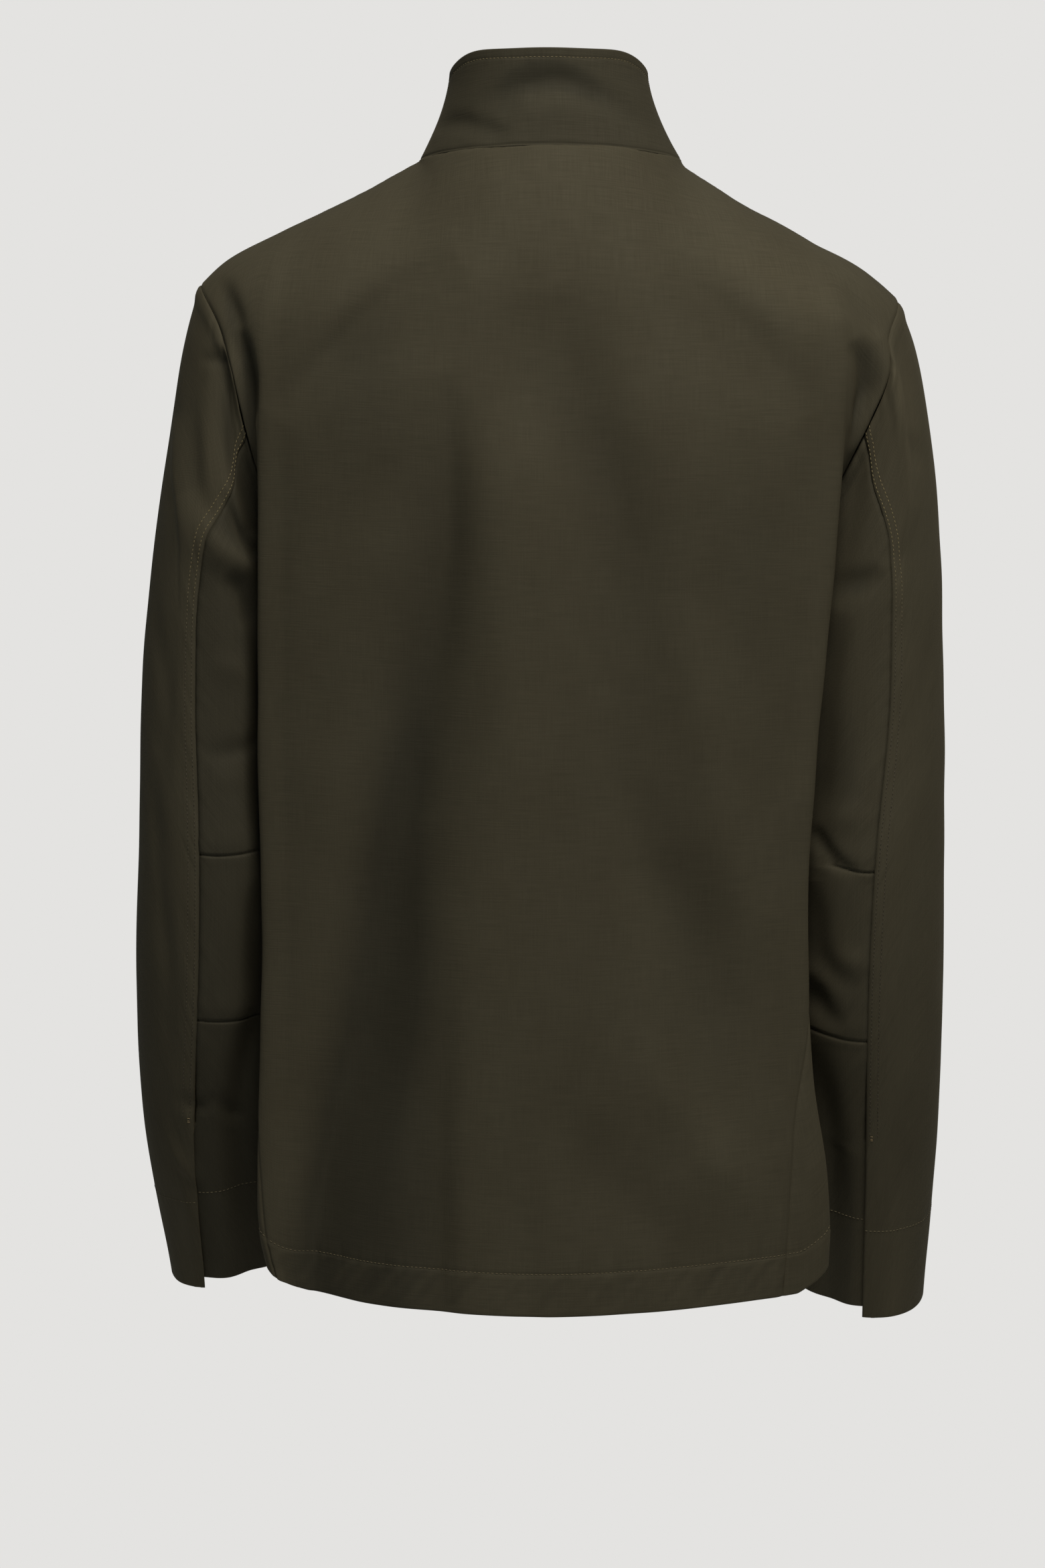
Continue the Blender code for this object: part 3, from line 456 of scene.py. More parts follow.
def neckline(side, angle):
    """Points of the neckline: the angle is 0 at the middle of the back and 180 at the middle of the front."""
    a = np.radians(angle)
    forward = np.clip(-np.cos(a), 0, None)
    drop = NECK_SIDE_DROP * np.clip(np.sin(a), 0, 1) ** 2
    front_drop = NECK_SIDE_DROP + (NECK_FRONT_DROP - NECK_SIDE_DROP) * forward**NECK_FRONT_CURVE
    z = -np.where(forward > 0, front_drop, drop)
    return stack(NECK_WIDTH[side] * np.sin(a), NECK_MIDDLE_Y + NECK_DEPTH * np.cos(a), z)


def past_neck(share):
    """How far along the shoulder seam a share of a panel's top row is."""
    return np.clip((share - NECK_SHARE) / (1 - NECK_SHARE), 0, 1)


def top_row(side, share, over):
    """The top of a panel: along the neckline and then along the shoulder seam."""
    middle = 0.0 if over > 0 else 180.0 + LAP_ANGLE
    neck = neckline(side, middle + (90.0 - middle) * np.clip(share / NECK_SHARE, 0, 1))
    s = past_neck(share)
    x = through(s, SHOULDER["share"], SHOULDER[side + "_x"])
    z = through(s, SHOULDER["share"], SHOULDER[side + "_z"])
    return np.where((share > NECK_SHARE)[:, None], stack(x, NECK_MIDDLE_Y + s, z), neck)


def edge_turn(side, height, over):
    """The angle round the armhole at which a row of a panel ends, from its underarm row upwards."""
    start = armhole_turn(side, min(HEM + (YOKE_LEVEL - HEM) * height, YOKE_LEVEL), over)
    return start + ((0 if over > 0 else 360) - start) * max(height - 1, 0)


def yoke_row(side, rise, share, over):
    """A row between YOKE_LEVEL (rise = 0) and the top (rise = 1)."""
    low, top = level_row(side, YOKE_LEVEL, share, over), top_row(side, share, over)
    ridge = ease((share - RIDGE_BLEND[0]) / RIDGE_BLEND[1])[:, None]
    arrival = np.array(NECK_ARRIVAL) * (1 - ridge) + np.array(RIDGE_ARRIVAL) * ridge
    t, span = rise, top - low
    row = (2 * t**3 - 3 * t**2 + 1) * low + (t**3 - 2 * t**2 + t) * span * np.array(YOKE_START)
    row = row + (3 * t**2 - 2 * t**3) * top + (t**3 - t**2) * span * arrival
    edge = armhole(side, edge_turn(side, 1 + rise, over))
    return row + ease((share - YOKE_EDGE) / (1 - YOKE_EDGE))[:, None] * (edge - row[share.argmax()])


def panel_row(side, height, share, over):
    """A row of a panel: height runs from 0 at the hem over 1 at YOKE_LEVEL to 2 at the top."""
    if height > 1:
        return yoke_row(side, height - 1, share, over)
    row = level_row(side, HEM + (YOKE_LEVEL - HEM) * height, share, over)
    x, y, z = row.T
    rise = HEM_RISE * np.abs(x / HEM_HALF_WIDTH) ** HEM_CURVE
    corner = ease((HEM_CORNER_Y[0] - y) / HEM_CORNER_Y[1])
    front = ease((np.abs(x) - HEM_FRONT_X[0]) / HEM_FRONT_X[1]) if over < 0 else 1.0
    near_hem = np.clip(1 - (z - HEM) / HEM_RISE_REACH, 0, 1) ** 2
    row[:, 2] += (rise + HEM_CORNER_RISE * corner * front) * near_hem
    return row


def arcs(points, axis, backwards=False):
    """Lengths along a grid's rows (axis = 1) or columns (axis = 0), from the start or, backwards, the end."""
    steps = np.linalg.norm(np.diff(points, axis=axis), axis=-1)
    start = np.zeros_like(np.take(points[..., 0], [0], axis=axis))
    length = np.concatenate([start, np.cumsum(steps, axis=axis)], axis=axis)
    return np.take(length, [-1], axis=axis) - length if backwards else length


def grid_normals(points):
    return unit(np.cross(np.gradient(points, axis=1), np.gradient(points, axis=0)))


def hole_normal(side, turn, own):
    """Normals at the armhole: those of the piece itself below, and square to the seam over the shoulder."""
    radial = armhole(side, turn) - np.array(HOLE_MIDDLE)
    radial -= (radial @ np.array(HOLE_AXIS))[..., None] * np.array(HOLE_AXIS)
    over = ease((CAP_TURN - np.abs((turn + 180) % 360 - 180)) / CAP_FADE)[..., None]
    return unit(own * (1 - over) + unit(radial) * over)


def seam_normal(side, share):
    """Normals along the shoulder seam, square to it and level with the ridge of the shoulder."""
    s, step = past_neck(share), 0.02
    dx, dz = (
        through(s + step, SHOULDER["share"], SHOULDER[side + way])
        - through(s - step, SHOULDER["share"], SHOULDER[side + way])
        for way in ("_x", "_z")
    )
    return stack(-dz, 0 * dx, dx) / np.hypot(dx, dz)[:, None]


def relaxed(points, weight, axis, rounds):
    """The points drawn together along one way of their grid, as far as weight says, to soften a bend."""
    points = np.moveaxis(points, axis, 0).copy()
    weight = np.moveaxis(weight, axis, 0)[1:-1, :, None] / 4
    for _ in range(rounds):
        points[1:-1] += weight * (points[2:] + points[:-2] - 2 * points[1:-1])
    return np.moveaxis(points, 0, axis)


def towards(normals, target, distance, reach=5.0):
    """Normals that turn to those of a seam within a short way of it."""
    near = ease(1 - distance / reach)[..., None]
    return unit(normals * (1 - near) + target * near)


def panel_half(side, over, shares):
    """Points, normals and distances of one side of a panel, before the side's sign. Its columns run from the
    middle to the edge, and its rows from the hem to the top."""
    points = np.array([panel_row(side, height, shares, over) for height in HEIGHTS])
    inside = ease(arcs(points, 1, True) / SOFT_MARGIN) * ease(arcs(points, 0, True) / SOFT_MARGIN)
    near_yoke = np.exp(-(((HEIGHTS - 1) / YOKE_SOFT) ** 2))[:, None] * inside
    near_neck = np.exp(-(((shares - NECK_SHARE) / NECK_SOFT) ** 2))[None] * inside
    near_neck = near_neck * ease((HEIGHTS[:, None] - NECK_SOFT_START) / NECK_SOFT)
    points = relaxed(relaxed(points, near_yoke, 0, SOFT_ROUNDS), near_neck, 1, SOFT_ROUNDS)
    normals = -over * grid_normals(points)
    far = {
        "hem": arcs(points, 0),
        "top": arcs(points, 0, True),
        "edge": arcs(points, 1, True),
        "middle": arcs(points, 1),
    }
    shoulder = shares >= NECK_SHARE
    seam = normals[-1].copy()
    seam[shoulder] = seam_normal(side, shares[shoulder])
    normals = towards(normals, seam[None], far["top"])
    turns = np.array([edge_turn(side, height, over) for height in HEIGHTS])
    in_hole = (HEIGHTS > (ARMHOLE[side + "_z"].min() - HEM) / (YOKE_LEVEL - HEM))[:, None, None]
    hole = hole_normal(side, turns, normals[:, -1])[:, None]
    return points, np.where(in_hole, towards(normals, hole, far["edge"]), normals), far


def across(right, left):
    """One grid out of a right and a left half that share their middle column."""
    flip = np.array([-1.0, 1.0, 1.0]) if right.ndim == 3 else 1.0
    return np.concatenate([(right * flip)[:, :0:-1], left], axis=1)


FOLD_STEPS = 40  # steps in which a fold's line is followed
FOLD_REACH = 3.2  # in a fold's own half widths
FOLD_FACING, FOLD_FACING_FADE = 0.05, 0.3  # a fold fades where the cloth turns away from its side


def crease(points, normals, line, facing):
    """How far one fold moves the cloth inwards. line: its points from one end to the other, each with x, z,
    depth, and the half widths on its +X or lower side and on its other side. facing: 1 on the back and -1 on
    the front."""
    line = np.array(line, float)
    place = np.arange(len(line))
    fine = np.linspace(0, len(line) - 1, FOLD_STEPS)
    x, z, depth, plus, minus = (through(fine, place, column) for column in line.T)
    px, pz = points[..., 0], points[..., 2]
    reach = FOLD_REACH * max(plus.max(), minus.max())
    inside = (px > x.min() - reach) & (px < x.max() + reach) & (pz > z.min() - reach) & (pz < z.max() + reach)
    inside &= normals[..., 1] * facing > FOLD_FACING
    moved = np.zeros(px.shape)
    qx, qz = px[inside][:, None], pz[inside][:, None]
    dx, dz = np.diff(x), np.diff(z)
    t = np.clip(((qx - x[:-1]) * dx + (qz - z[:-1]) * dz) / (dx**2 + dz**2), 0, 1)
    gap = np.hypot(qx - x[:-1] - t * dx, qz - z[:-1] - t * dz)
    best = gap.argmin(axis=1)
    pick = np.arange(len(best))
    t, gap = t[pick, best], gap[pick, best]
    side = np.sign(dx[best] * (qz[:, 0] - z[best]) - dz[best] * (qx[:, 0] - x[best]))

    def between(values):
        return values[best] + (values[best + 1] - values[best]) * t

    width = np.where(side > 0, between(plus), between(minus))
    faced = ease((normals[..., 1][inside] * facing - FOLD_FACING) / FOLD_FACING_FADE)
    moved[inside] = between(depth) * np.exp(-((gap / width) ** 2)) * faced
    return moved


def creased(points, normals, lines, facing):
    return sum(crease(points, normals, line, facing) for line in lines)


def ripple(along, wave, seed):
    """An uneven wave between about -1 and 1."""
    parts = ((1.0, 0.0), (0.618, 2.1), (1.73, 4.4), (0.37, 1.3))
    turn = 2 * math.pi * along / wave
    return sum(np.sin(turn * k + seed * (1 + n) + shift) for n, (k, shift) in enumerate(parts)) / 2.4


def pucker(distance, along, at, seed, height=0.22, reach=4.0, wave=7.0):
    """The small waves that a row of stitches draws into the cloth on both sides of it."""
    return height * np.exp(-(((distance - at) / reach) ** 2)) * ripple(along, wave, seed)


def groove(distance, depth, width):
    return depth * np.exp(-((distance / width) ** 2))


SEAM_DIP, STITCH_DIP = (0.7, 1.2), (0.28, 1.0)  # how deep and wide they draw the cloth in
HEM_THICKNESS, HEM_STEP = 0.3, 3  # what the turned-up layer adds, and how soon
HEM_PUCKER, NECK_PUCKER = (0.3, 7.0, 11.0), 0.12  # height, reach and wave
FOLD_MARGIN = 7  # folds fade this near the armhole and the side seam


def panel_seams(far, along, seed):
    """How far a panel is drawn in at its seams and its hem's stitches, less what its thick hem stands out."""
    depth = groove(far["edge"], *SEAM_DIP) + groove(far["top"], *SEAM_DIP)
    depth += groove(far["hem"] - HEM_STITCH, *STITCH_DIP)
    depth -= HEM_THICKNESS * ease((HEM_STITCH - far["hem"]) / HEM_STEP)
    return depth + pucker(far["hem"], along, HEM_STITCH, seed, *HEM_PUCKER)


def fullness(*distances):
    """The share of the wall's thickness that is left near its folded edges, which are round."""
    left = 1.0
    for distance in distances:
        left = left * np.sqrt(np.clip(1 - (1 - np.clip(distance / ROUND, 0, 1)) ** 2, LEAST_FULL, 1))
    return left


def cells(rows, columns, every):
    """Faces of a grid that are coarse inside and keep every point along its border."""
    down, over = (list(range(0, count - 1, every)) + [count - 1] for count in (rows, columns))
    faces = []
    for i0, i1 in zip(down, down[1:]):
        for j0, j1 in zip(over, over[1:]):
            low = range(j0, j1 + 1) if i0 == 0 else (j0, j1)
            high = range(j0, j1 + 1) if i1 == rows - 1 else (j0, j1)
            first = range(i0, i1 + 1) if j0 == 0 else (i0, i1)
            last = range(i0, i1 + 1) if j1 == columns - 1 else (i0, i1)
            face = [(i0, j) for j in low] + [(i, j1) for i in list(last)[1:]]
            face += [(i1, j) for j in list(high)[-2::-1]] + [(i, j0) for i in list(first)[-2:0:-1]]
            faces.append([i * columns + j for i, j in face])
    return faces


def cloth_piece(name, points, normals, full, grain, painted_shading, node):
    """A closed wall of gabardine: a fine outer grid, a coarser inner one, and the edge between them. full:
    the share of the wall's thickness. grain: places in the weave. painted_shading: painted shade (above 0)
    and painted highlight (below 0) in the cloth's colour, given as the depth of a fold."""
    rows, columns = points.shape[:2]
    middle = points - WALL / 2 * normals
    half = np.broadcast_to(full, points.shape[:2])[..., None] * WALL / 2 * normals
    index = np.arange(rows * columns).reshape(rows, columns)
    quads = np.stack([index[:-1, :-1], index[:-1, 1:], index[1:, 1:], index[1:, :-1]], axis=-1).reshape(-1, 4)
    edge = np.concatenate([index[0], index[1:, -1], index[-1, -2::-1], index[-2:0:-1, 0]])
    inner = cells(rows, columns, INNER_STEP)
    facing = np.dot(np.cross(points[0, 1] - points[0, 0], points[1, 0] - points[0, 0]), normals[0, 0])
    if facing < 0:
        quads, edge = quads[:, ::-1], edge[::-1]
        inner = [face[::-1] for face in inner]
    used = np.zeros(rows * columns, int)
    for face in inner:
        used[face] = 1
    place = rows * columns + np.cumsum(used) - 1
    kept = used > 0
    following = np.roll(edge, -1)
    faces = quads.tolist() + [place[face[::-1]].tolist() for face in inner]
    faces += np.stack([following, edge, place[edge], place[following]], axis=-1).tolist()
    outer_points, inner_points = (middle + half).reshape(-1, 3), (middle - half).reshape(-1, 3)[kept]
    mesh = bpy.data.meshes.new(name)
    mesh.from_pydata((np.concatenate([outer_points, inner_points]) * MM).tolist(), [], faces)
    corner = np.empty(len(mesh.loops), int)
    mesh.loops.foreach_get("vertex_index", corner)
    flat = np.concatenate([grain.reshape(-1, 2), grain.reshape(-1, 2)[kept]]) * MM
    mesh.uv_layers.new(name="grain").data.foreach_set("uv", flat[corner].ravel())
    # Painted shade above 0 and painted highlight below 0, scaled to -1 to 1 and curved.
    painted_light = np.clip(np.concatenate([painted_shading.ravel(), painted_shading.ravel()[kept]]) / PAINTED_SHADE_FULL, -1, 1)
    painted_light = np.sign(painted_light) * np.abs(painted_light) ** PAINTED_SHADE_CURVE
    mesh.attributes.new("painted_light", "FLOAT", "POINT").data.foreach_set("value", painted_light.astype(np.float32))
    mesh.polygons.foreach_set("use_smooth", np.ones(len(mesh.polygons), bool))
    mesh.materials.append(gabardine)
    made = link_object(name, mesh)
    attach(made, "root")
    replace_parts(made, node)
    return made


# The back's folds. The two long ones start between the shoulder blades and run down to the left and right.
BACK_CREASES = (
    ((66, -145, 0.3, 30, 14), (62, -180, 5, 36, 14), (62, -215, 9, 40, 15), (64, -262, 12, 40, 17),
     (70, -302, 13.5, 40, 20), (78, -343, 15, 36, 24), (85, -385, 16.5, 32, 27), (95, -430, 17, 28, 31),
     (105, -475, 18, 26, 33), (114, -520, 18.5, 24, 35), (122, -560, 19.5, 22, 35),
     (134, -600, 20, 19, 34), (142, -640, 19, 15, 31), (147, -680, 16, 13, 31), (150, -730, 13, 12, 30)),
    ((62, -480, 0, 22, 10), (64, -530, 1.8, 22, 10), (66, -580, 3.2, 22, 11), (67, -630, 4.6, 22, 11),
     (67, -670, 5.2, 20, 11), (66, -728, 4.6, 18, 11)),
    ((22, -160, 0, 18, 30), (22, -220, -2.8, 20, 34), (20, -300, -4.8, 22, 36), (20, -390, -5.5, 28, 38),
     (24, -450, -4.5, 34, 38), (30, -520, -3, 36, 38), (38, -600, -1, 30, 36), (45, -650, 0, 30, 36)),
    ((0, -95, 0, 34, 26), (-9, -124, 4, 34, 26), (-14, -150, 7, 34, 26), (-22, -178, 9, 34, 27),
     (-34, -206, 10, 34, 28), (-44, -237, 9.6, 34, 28), (-50, -265, 9, 34, 28), (-54, -302, 8, 34, 28),
     (-56, -345, 6.8, 34, 28), (-56, -390, 4.5, 34, 28), (-58, -440, 2, 34, 28)),
    ((-44, -350, 0, 30, 30), (-52, -392, 1.6, 28, 30), (-66, -432, 5, 25, 28), (-80, -464, 8.6, 24, 26),
     (-93, -500, 9.6, 26, 28), (-102, -540, 8, 26, 30), (-107, -580, 5, 26, 28), (-112, -635, 0, 26, 26)),
    ((-84, -280, 0, 20, 20), (-94, -330, -3.4, 20, 22), (-106, -400, -4, 20, 24),
     (-116, -445, -3.4, 18, 24), (-132, -490, -2.6, 18, 22), (-142, -560, -1.8, 18, 20),
     (-146, -620, 0, 18, 20)),
    ((14, -575, 0, 24, 20), (-8, -604, 1.4, 24, 22), (-34, -634, 2.4, 24, 24), (-62, -662, 2.6, 22, 22),
     (-90, -690, 1.6, 18, 20), (-115, -720, 0.6, 18, 18)),
    ((74, -420, 0, 22, 24), (84, -480, 2, 22, 26), (94, -540, 3.2, 22, 26), (102, -600, 3.6, 20, 26),
     (108, -660, 2.8, 18, 24), (112, -728, 1.6, 16, 22)),
    ((-40, -545, 0, 18, 18), (-70, -580, -2.2, 18, 18), (-95, -615, -2.8, 18, 18),
     (-125, -655, -1.8, 18, 18), (-145, -690, 0, 18, 18)),
    ((55, -72, 0, 11, 24), (83, -86, 4, 11, 28), (107, -102, 6, 11, 28), (129, -125, 6, 10, 26),
     (148, -148, 3.4, 11, 20), (166, -172, 0, 14, 16)),
    ((-74, -78, 0, 30, 14), (-100, -97, 4, 32, 14), (-124, -118, 5, 32, 13), (-143, -143, 3.6, 26, 13),
     (-160, -172, 0, 18, 15)),
    ((204, -78, 0, 5, 6), (199, -92, 3.2, 6, 6), (194, -106, 4, 6, 6), (191, -122, 2.4, 5, 6),
     (189, -136, 0, 5, 6)),
    ((192, -114, 0, 5, 5), (190, -128, 6, 6, 6), (188, -144, 9, 6, 6.5), (186.5, -160, 8, 5, 5.5),
     (185, -174, 4.5, 4, 4), (183, -188, 0, 3, 3)),
    ((-186, -82, 0, 5, 5), (-194, -96, 2.2, 5, 5), (-202, -108, 2.6, 5, 5), (-208, -120, 0, 4, 5)),
    ((-190, -122, 0, 6, 7), (-197, -134, 5.5, 6, 9), (-199, -150, 9, 6, 9), (-196, -164, 8, 4.5, 7),
     (-193, -176, 4.5, 3, 5), (-190, -188, 0, 3, 4)),
    ((12, -640, 0, 12, 12), (10, -680, 0.9, 12, 12), (8, -728, 1.4, 10, 10)),
    ((-46, -670, 0, 12, 12), (-48, -700, 0.9, 12, 12), (-50, -728, 1.4, 12, 12)),
    ((112, -676, 0, 10, 10), (114, -704, -0.8, 10, 10), (116, -728, -1.2, 10, 10)),
    ((-142, -640, 0, 10, 10), (-146, -690, -1.2, 10, 10), (-148, -728, -1.6, 10, 10)),
)

# Painted shade (above 0) and painted highlight (below 0) on the back, beyond what its folds paint.
BACK_PAINTED_SHADES = (
    ((202, -80, 0, 5, 5), (200, -90, 12, 5, 6), (198, -106, 14, 5, 6), (194, -120, 8, 5, 5),
     (191, -130, 0, 4, 4)),
    ((189, -118, 0, 5, 4), (188, -130, 14, 6, 5), (187, -146, 18, 7, 5), (186, -170, 18, 7, 5),
     (184, -196, 16, 6, 5), (182, -214, 0, 5, 4)),
    ((-195, -118, 0, 6, 6), (-200, -129, 12, 7, 9), (-203, -142, 10, 9, 9), (-197, -160, 9, 7, 8),
     (-192, -178, 12, 6, 7), (-188, -196, 12, 5, 6), (-185, -210, 0, 4, 4)),
    ((76, -420, 0, 24, 20), (78, -480, 7, 24, 22), (78, -540, 8, 26, 24), (80, -600, 8, 30, 26),
     (88, -660, 14, 32, 28), (96, -728, 17, 32, 28)),
    ((74, -300, 0, 12, 12), (82, -350, 3, 14, 16), (92, -400, 7, 16, 22), (102, -450, 5, 16, 24),
     (114, -500, 0, 16, 24)),
    ((138, -620, 0, 18, 20), (148, -665, 6, 18, 22), (152, -728, 9, 18, 22)),
    ((104, -480, 0, 18, 18), (106, -530, 6, 20, 20), (114, -590, 10, 22, 22), (118, -625, 10, 22, 22),
     (128, -665, 6, 20, 20), (134, -700, 0, 18, 18)),
    ((140, -200, 0, 20, 20), (140, -245, -7, 22, 22), (140, -300, -4, 22, 22), (140, -350, 0, 20, 20)),
    ((-70, -52, 0, 22, 22), (-120, -72, -8, 24, 24), (-170, -100, -10, 24, 24), (-196, -112, 0, 14, 16)),
    ((84, -100, 0, 22, 22), (110, -140, 9, 28, 28), (112, -190, 7, 26, 26), (108, -240, 0, 24, 24)),
    ((-110, -190, 0, 30, 30), (-122, -240, 8, 32, 30), (-124, -300, 6, 30, 30), (-120, -360, 0, 28, 28)),
)

# The hem's fold has twisted a little: slanting waves below its stitches, in mm, and their painted shade.
HEM_ROPE, HEM_ROPE_SLANT, HEM_ROPE_DEPTH, HEM_ROPE_PAINTED_SHADE = 19.0, 0.8, 0.35, 4.0
HEM_ROPE_STARTS = (5, 8)  # how far from the stitches and from the edge they have their full height

halves = {side: panel_half(side, 1, SHARES) for side in SIDES}
points, normals = (across(halves["right"][k], halves["left"][k]) for k in (0, 1))
middle = len(SHARES) - 1
normals[:, middle] = unit(normals[:, middle] * (0, 1, 1))
far = {name: across(halves["right"][2][name], halves["left"][2][name]) for name in halves["left"][2]}
wide = across(-halves["right"][2]["middle"], halves["left"][2]["middle"])
grain = np.stack([wide, far["hem"]], axis=-1)
folds = creased(points, normals, BACK_CREASES, 1) * ease(far["edge"] / FOLD_MARGIN)
depth = folds + panel_seams(far, wide, 1.0) + pucker(far["top"], wide, 0.0, 2.0, NECK_PUCKER)
depth += 0.5 * ripple(wide + 0.3 * far["hem"], 83.0, 3.0) * ripple(far["hem"] - 0.2 * wide, 140.0, 5.0)
rope = ripple(wide + HEM_ROPE_SLANT * far["hem"], HEM_ROPE, 6.0)
rope *= ease((HEM_STITCH - far["hem"]) / HEM_ROPE_STARTS[0]) * ease(far["hem"] / HEM_ROPE_STARTS[1])
depth += HEM_ROPE_DEPTH * rope
back_points, back_normals, back_far = points - depth[..., None] * normals, normals, far
# The folds' depths also paint shade into their hollows and highlight onto their ridges.
painted_shading = folds + creased(points, normals, BACK_PAINTED_SHADES, 1) + HEM_ROPE_PAINTED_SHADE * rope
back = cloth_piece("back_panel", back_points, normals, fullness(far["hem"]), grain, painted_shading, "back")


# ---- The fronts ----
# Two gabardine fronts, the left one lapped over the right one past the middle and buttoned. Both hang almost
# flat below the chest, with soft folds that fall from the shoulders and from the buttons.
LAP_LIFT, LAP_FADE, LAP_MARGIN = 2.4, 40.0, 3.0
FRONT_STITCH, FRONT_STITCH_DIP, FRONT_PUCKER = 6.0, (0.2, 1.0), 0.15  # from a front's edge
FRONT_EDGE_SHARES = (0.0003, 0.001, 0.0026)
FRONT_CREASES = {
    "left": (
        ((128, -120, 0, 26, 18), (112, -200, 2.2, 28, 18), (98, -300, 2.8, 30, 20),
         (92, -420, 2.4, 30, 22), (96, -560, 2.8, 30, 22), (104, -730, 3.2, 28, 22)),
        ((58, -230, 0, 22, 20), (52, -330, -1.4, 22, 22), (50, -480, -1.6, 24, 22),
         (56, -620, -0.8, 24, 22), (60, -700, 0, 24, 22)),
        ((12, -196, 0.6, 8, 8), (30, -212, 0.9, 9, 9), (56, -236, 0, 10, 10)),
        ((12, -306, 0.5, 8, 8), (34, -326, 0.8, 9, 9), (60, -352, 0, 10, 10)),
        ((12, -526, 0.5, 8, 8), (36, -548, 0.8, 9, 9), (64, -580, 0, 10, 10)),
        ((150, -180, 0, 10, 12), (146, -230, 1.4, 10, 12), (140, -290, 0, 10, 12)),
    ),
    "right": (
        ((-132, -130, 0, 18, 26), (-118, -220, 2, 18, 28), (-108, -330, 2.6, 20, 30),
         (-110, -460, 2.2, 22, 28), (-118, -600, 2.4, 22, 28), (-124, -730, 2.8, 20, 26)),
        ((-66, -260, 0, 20, 22), (-60, -370, -1.3, 22, 24), (-58, -500, -1.5, 22, 24),
         (-64, -640, -0.6, 22, 24), (-66, -700, 0, 22, 24)),
        ((-30, -210, 0.3, 9, 9), (-50, -232, 0.8, 9, 9), (-76, -262, 0, 10, 10)),
        ((-34, -440, 0.3, 9, 9), (-58, -466, 0.8, 9, 9), (-86, -500, 0, 10, 10)),
        ((-152, -190, 0, 12, 10), (-147, -245, 1.3, 12, 10), (-142, -300, 0, 12, 10)),
    ),
}


def lapped(points):
    """The points of a left-hand piece, moved forward where it lies over the right-hand one."""
    near = ease((LAP + LAP_MARGIN + LAP_FADE - points[..., 0]) / LAP_FADE)
    return points - stack(0, LAP_LIFT * near * (points[..., 1] < NECK_MIDDLE_Y), 0)


front_shares = np.sort(np.concatenate([SHARES, FRONT_EDGE_SHARES]))
front_points, front_far = {}, {}
for seed, (side, sign) in enumerate(SIDES.items()):
    points, normals, far = panel_half(side, -1, front_shares)
    if side == "left":
        points = lapped(points)
    flip = np.array([sign, 1.0, 1.0])
    points, normals = points * flip, normals * flip
    folds = creased(points, normals, FRONT_CREASES[side], -1)
    depth = folds + panel_seams(far, far["middle"], 4.0 + seed)
    depth += pucker(far["middle"], far["hem"], FRONT_STITCH, 7.0 + seed, FRONT_PUCKER)
    depth += groove(far["middle"] - FRONT_STITCH, *FRONT_STITCH_DIP)
    depth += 0.4 * ripple(far["middle"], 74.0, 6.0 + seed) * ripple(far["hem"], 120.0, 8.0 + seed)
    points = points - depth[..., None] * normals
    front_points[side], front_far[side] = points, far
    grain = np.stack([far["middle"], far["hem"]], axis=-1)
    full = fullness(far["hem"], far["middle"])
    # The fronts' folds also paint shade into their hollows and highlight onto their ridges.
    made = cloth_piece(f"{side}_front_panel", points, normals, full, grain, folds, f"{side}_front")
    if side == "left":
        left_front = made


# ---- The collar ----
# A stand collar, two layers of gabardine turned out and stitched along the top, sewn into the neckline. It
# leans on the neck, which draws soft arcs across it at the back.
COLLAR_TOP_WIDTH = {"left": 61.0, "right": 65.0}
COLLAR_TOP_DEPTH, COLLAR_HEIGHT = 57.0, 61.5
COLLAR_SIDE_FALL, COLLAR_FRONT_FALL, COLLAR_FLARE = 8.5, 22.0, 1.6
COLLAR_STITCH, COLLAR_STITCH_DIP, COLLAR_PUCKER = 6.0, (0.3, 0.9), (0.16, 4.0, 6.0)
COLLAR_SEAM_DIP = (0.6, 1.0)
COLLAR_PAINTED_SHADE = 14.5  # painted shade over the whole collar, given as the depth of a fold
COLLAR_SHOULDERS = (3.2, 50.0, 22.0)  # how far its top edge stands up beside the neck, and at what angles
COLLAR_END = 180 + LAP_ANGLE
COLLAR_LAST_ANGLES = (0.8, 0.45, 0.2, 0.07, 0)  # before its end
COLLAR_ANGLES = np.concatenate(
    [np.linspace(0, COLLAR_END - 1.2, 118), COLLAR_END - np.array(COLLAR_LAST_ANGLES)]
)
COLLAR_RISES = stops(
    0.0, ((0.01, 2), (0.03, 2), (0.86, 34), (0.93, 8), (0.985, 4), (0.994, 1), (0.998, 1), (1.0, 1))
)
COLLAR_CREASES = (
    ((44, 20, 0, 9, 8), (31, 29, 2, 10, 8), (13, 38, 3.2, 11, 8), (-8, 40, 3.4, 11, 8),
     (-30, 33, 2.6, 11, 8), (-50, 22, 1.6, 10, 8), (-68, 8, 0, 9, 8)),
    ((70, 14, 0, 8, 6), (56, 17, 2.2, 8, 6), (44, 14, 2.4, 8, 7), (32, 9, 1.8, 8, 6), (20, 5, 0, 7, 6)),
    ((24, 22, 0, 12, 10), (4, 25, -1.2, 12, 10), (-24, 22, -1.2, 12, 10), (-50, 10, 0, 12, 10)),
)
# Painted shade along the arc that the neck draws across the back of the collar.
COLLAR_PAINTED_SHADES = (
    ((34, 36, 0, 7, 6), (18, 44, 7, 8, 6), (2, 47, 11, 8, 6), (-14, 45, 11, 8, 6), (-28, 38, 6, 8, 6),
     (-42, 30, 0, 7, 6)),
)
COLLAR_FRONT_CREASES = (
    ((60, -6, 0, 7, 7), (44, -14, 1, 7, 7), (26, -20, 0.6, 7, 7), (14, -24, 0, 7, 7)),
    ((-58, -4, 0, 7, 7), (-42, -12, 1, 7, 7), (-26, -20, 0.6, 7, 7), (-14, -24, 0, 7, 7)),
)


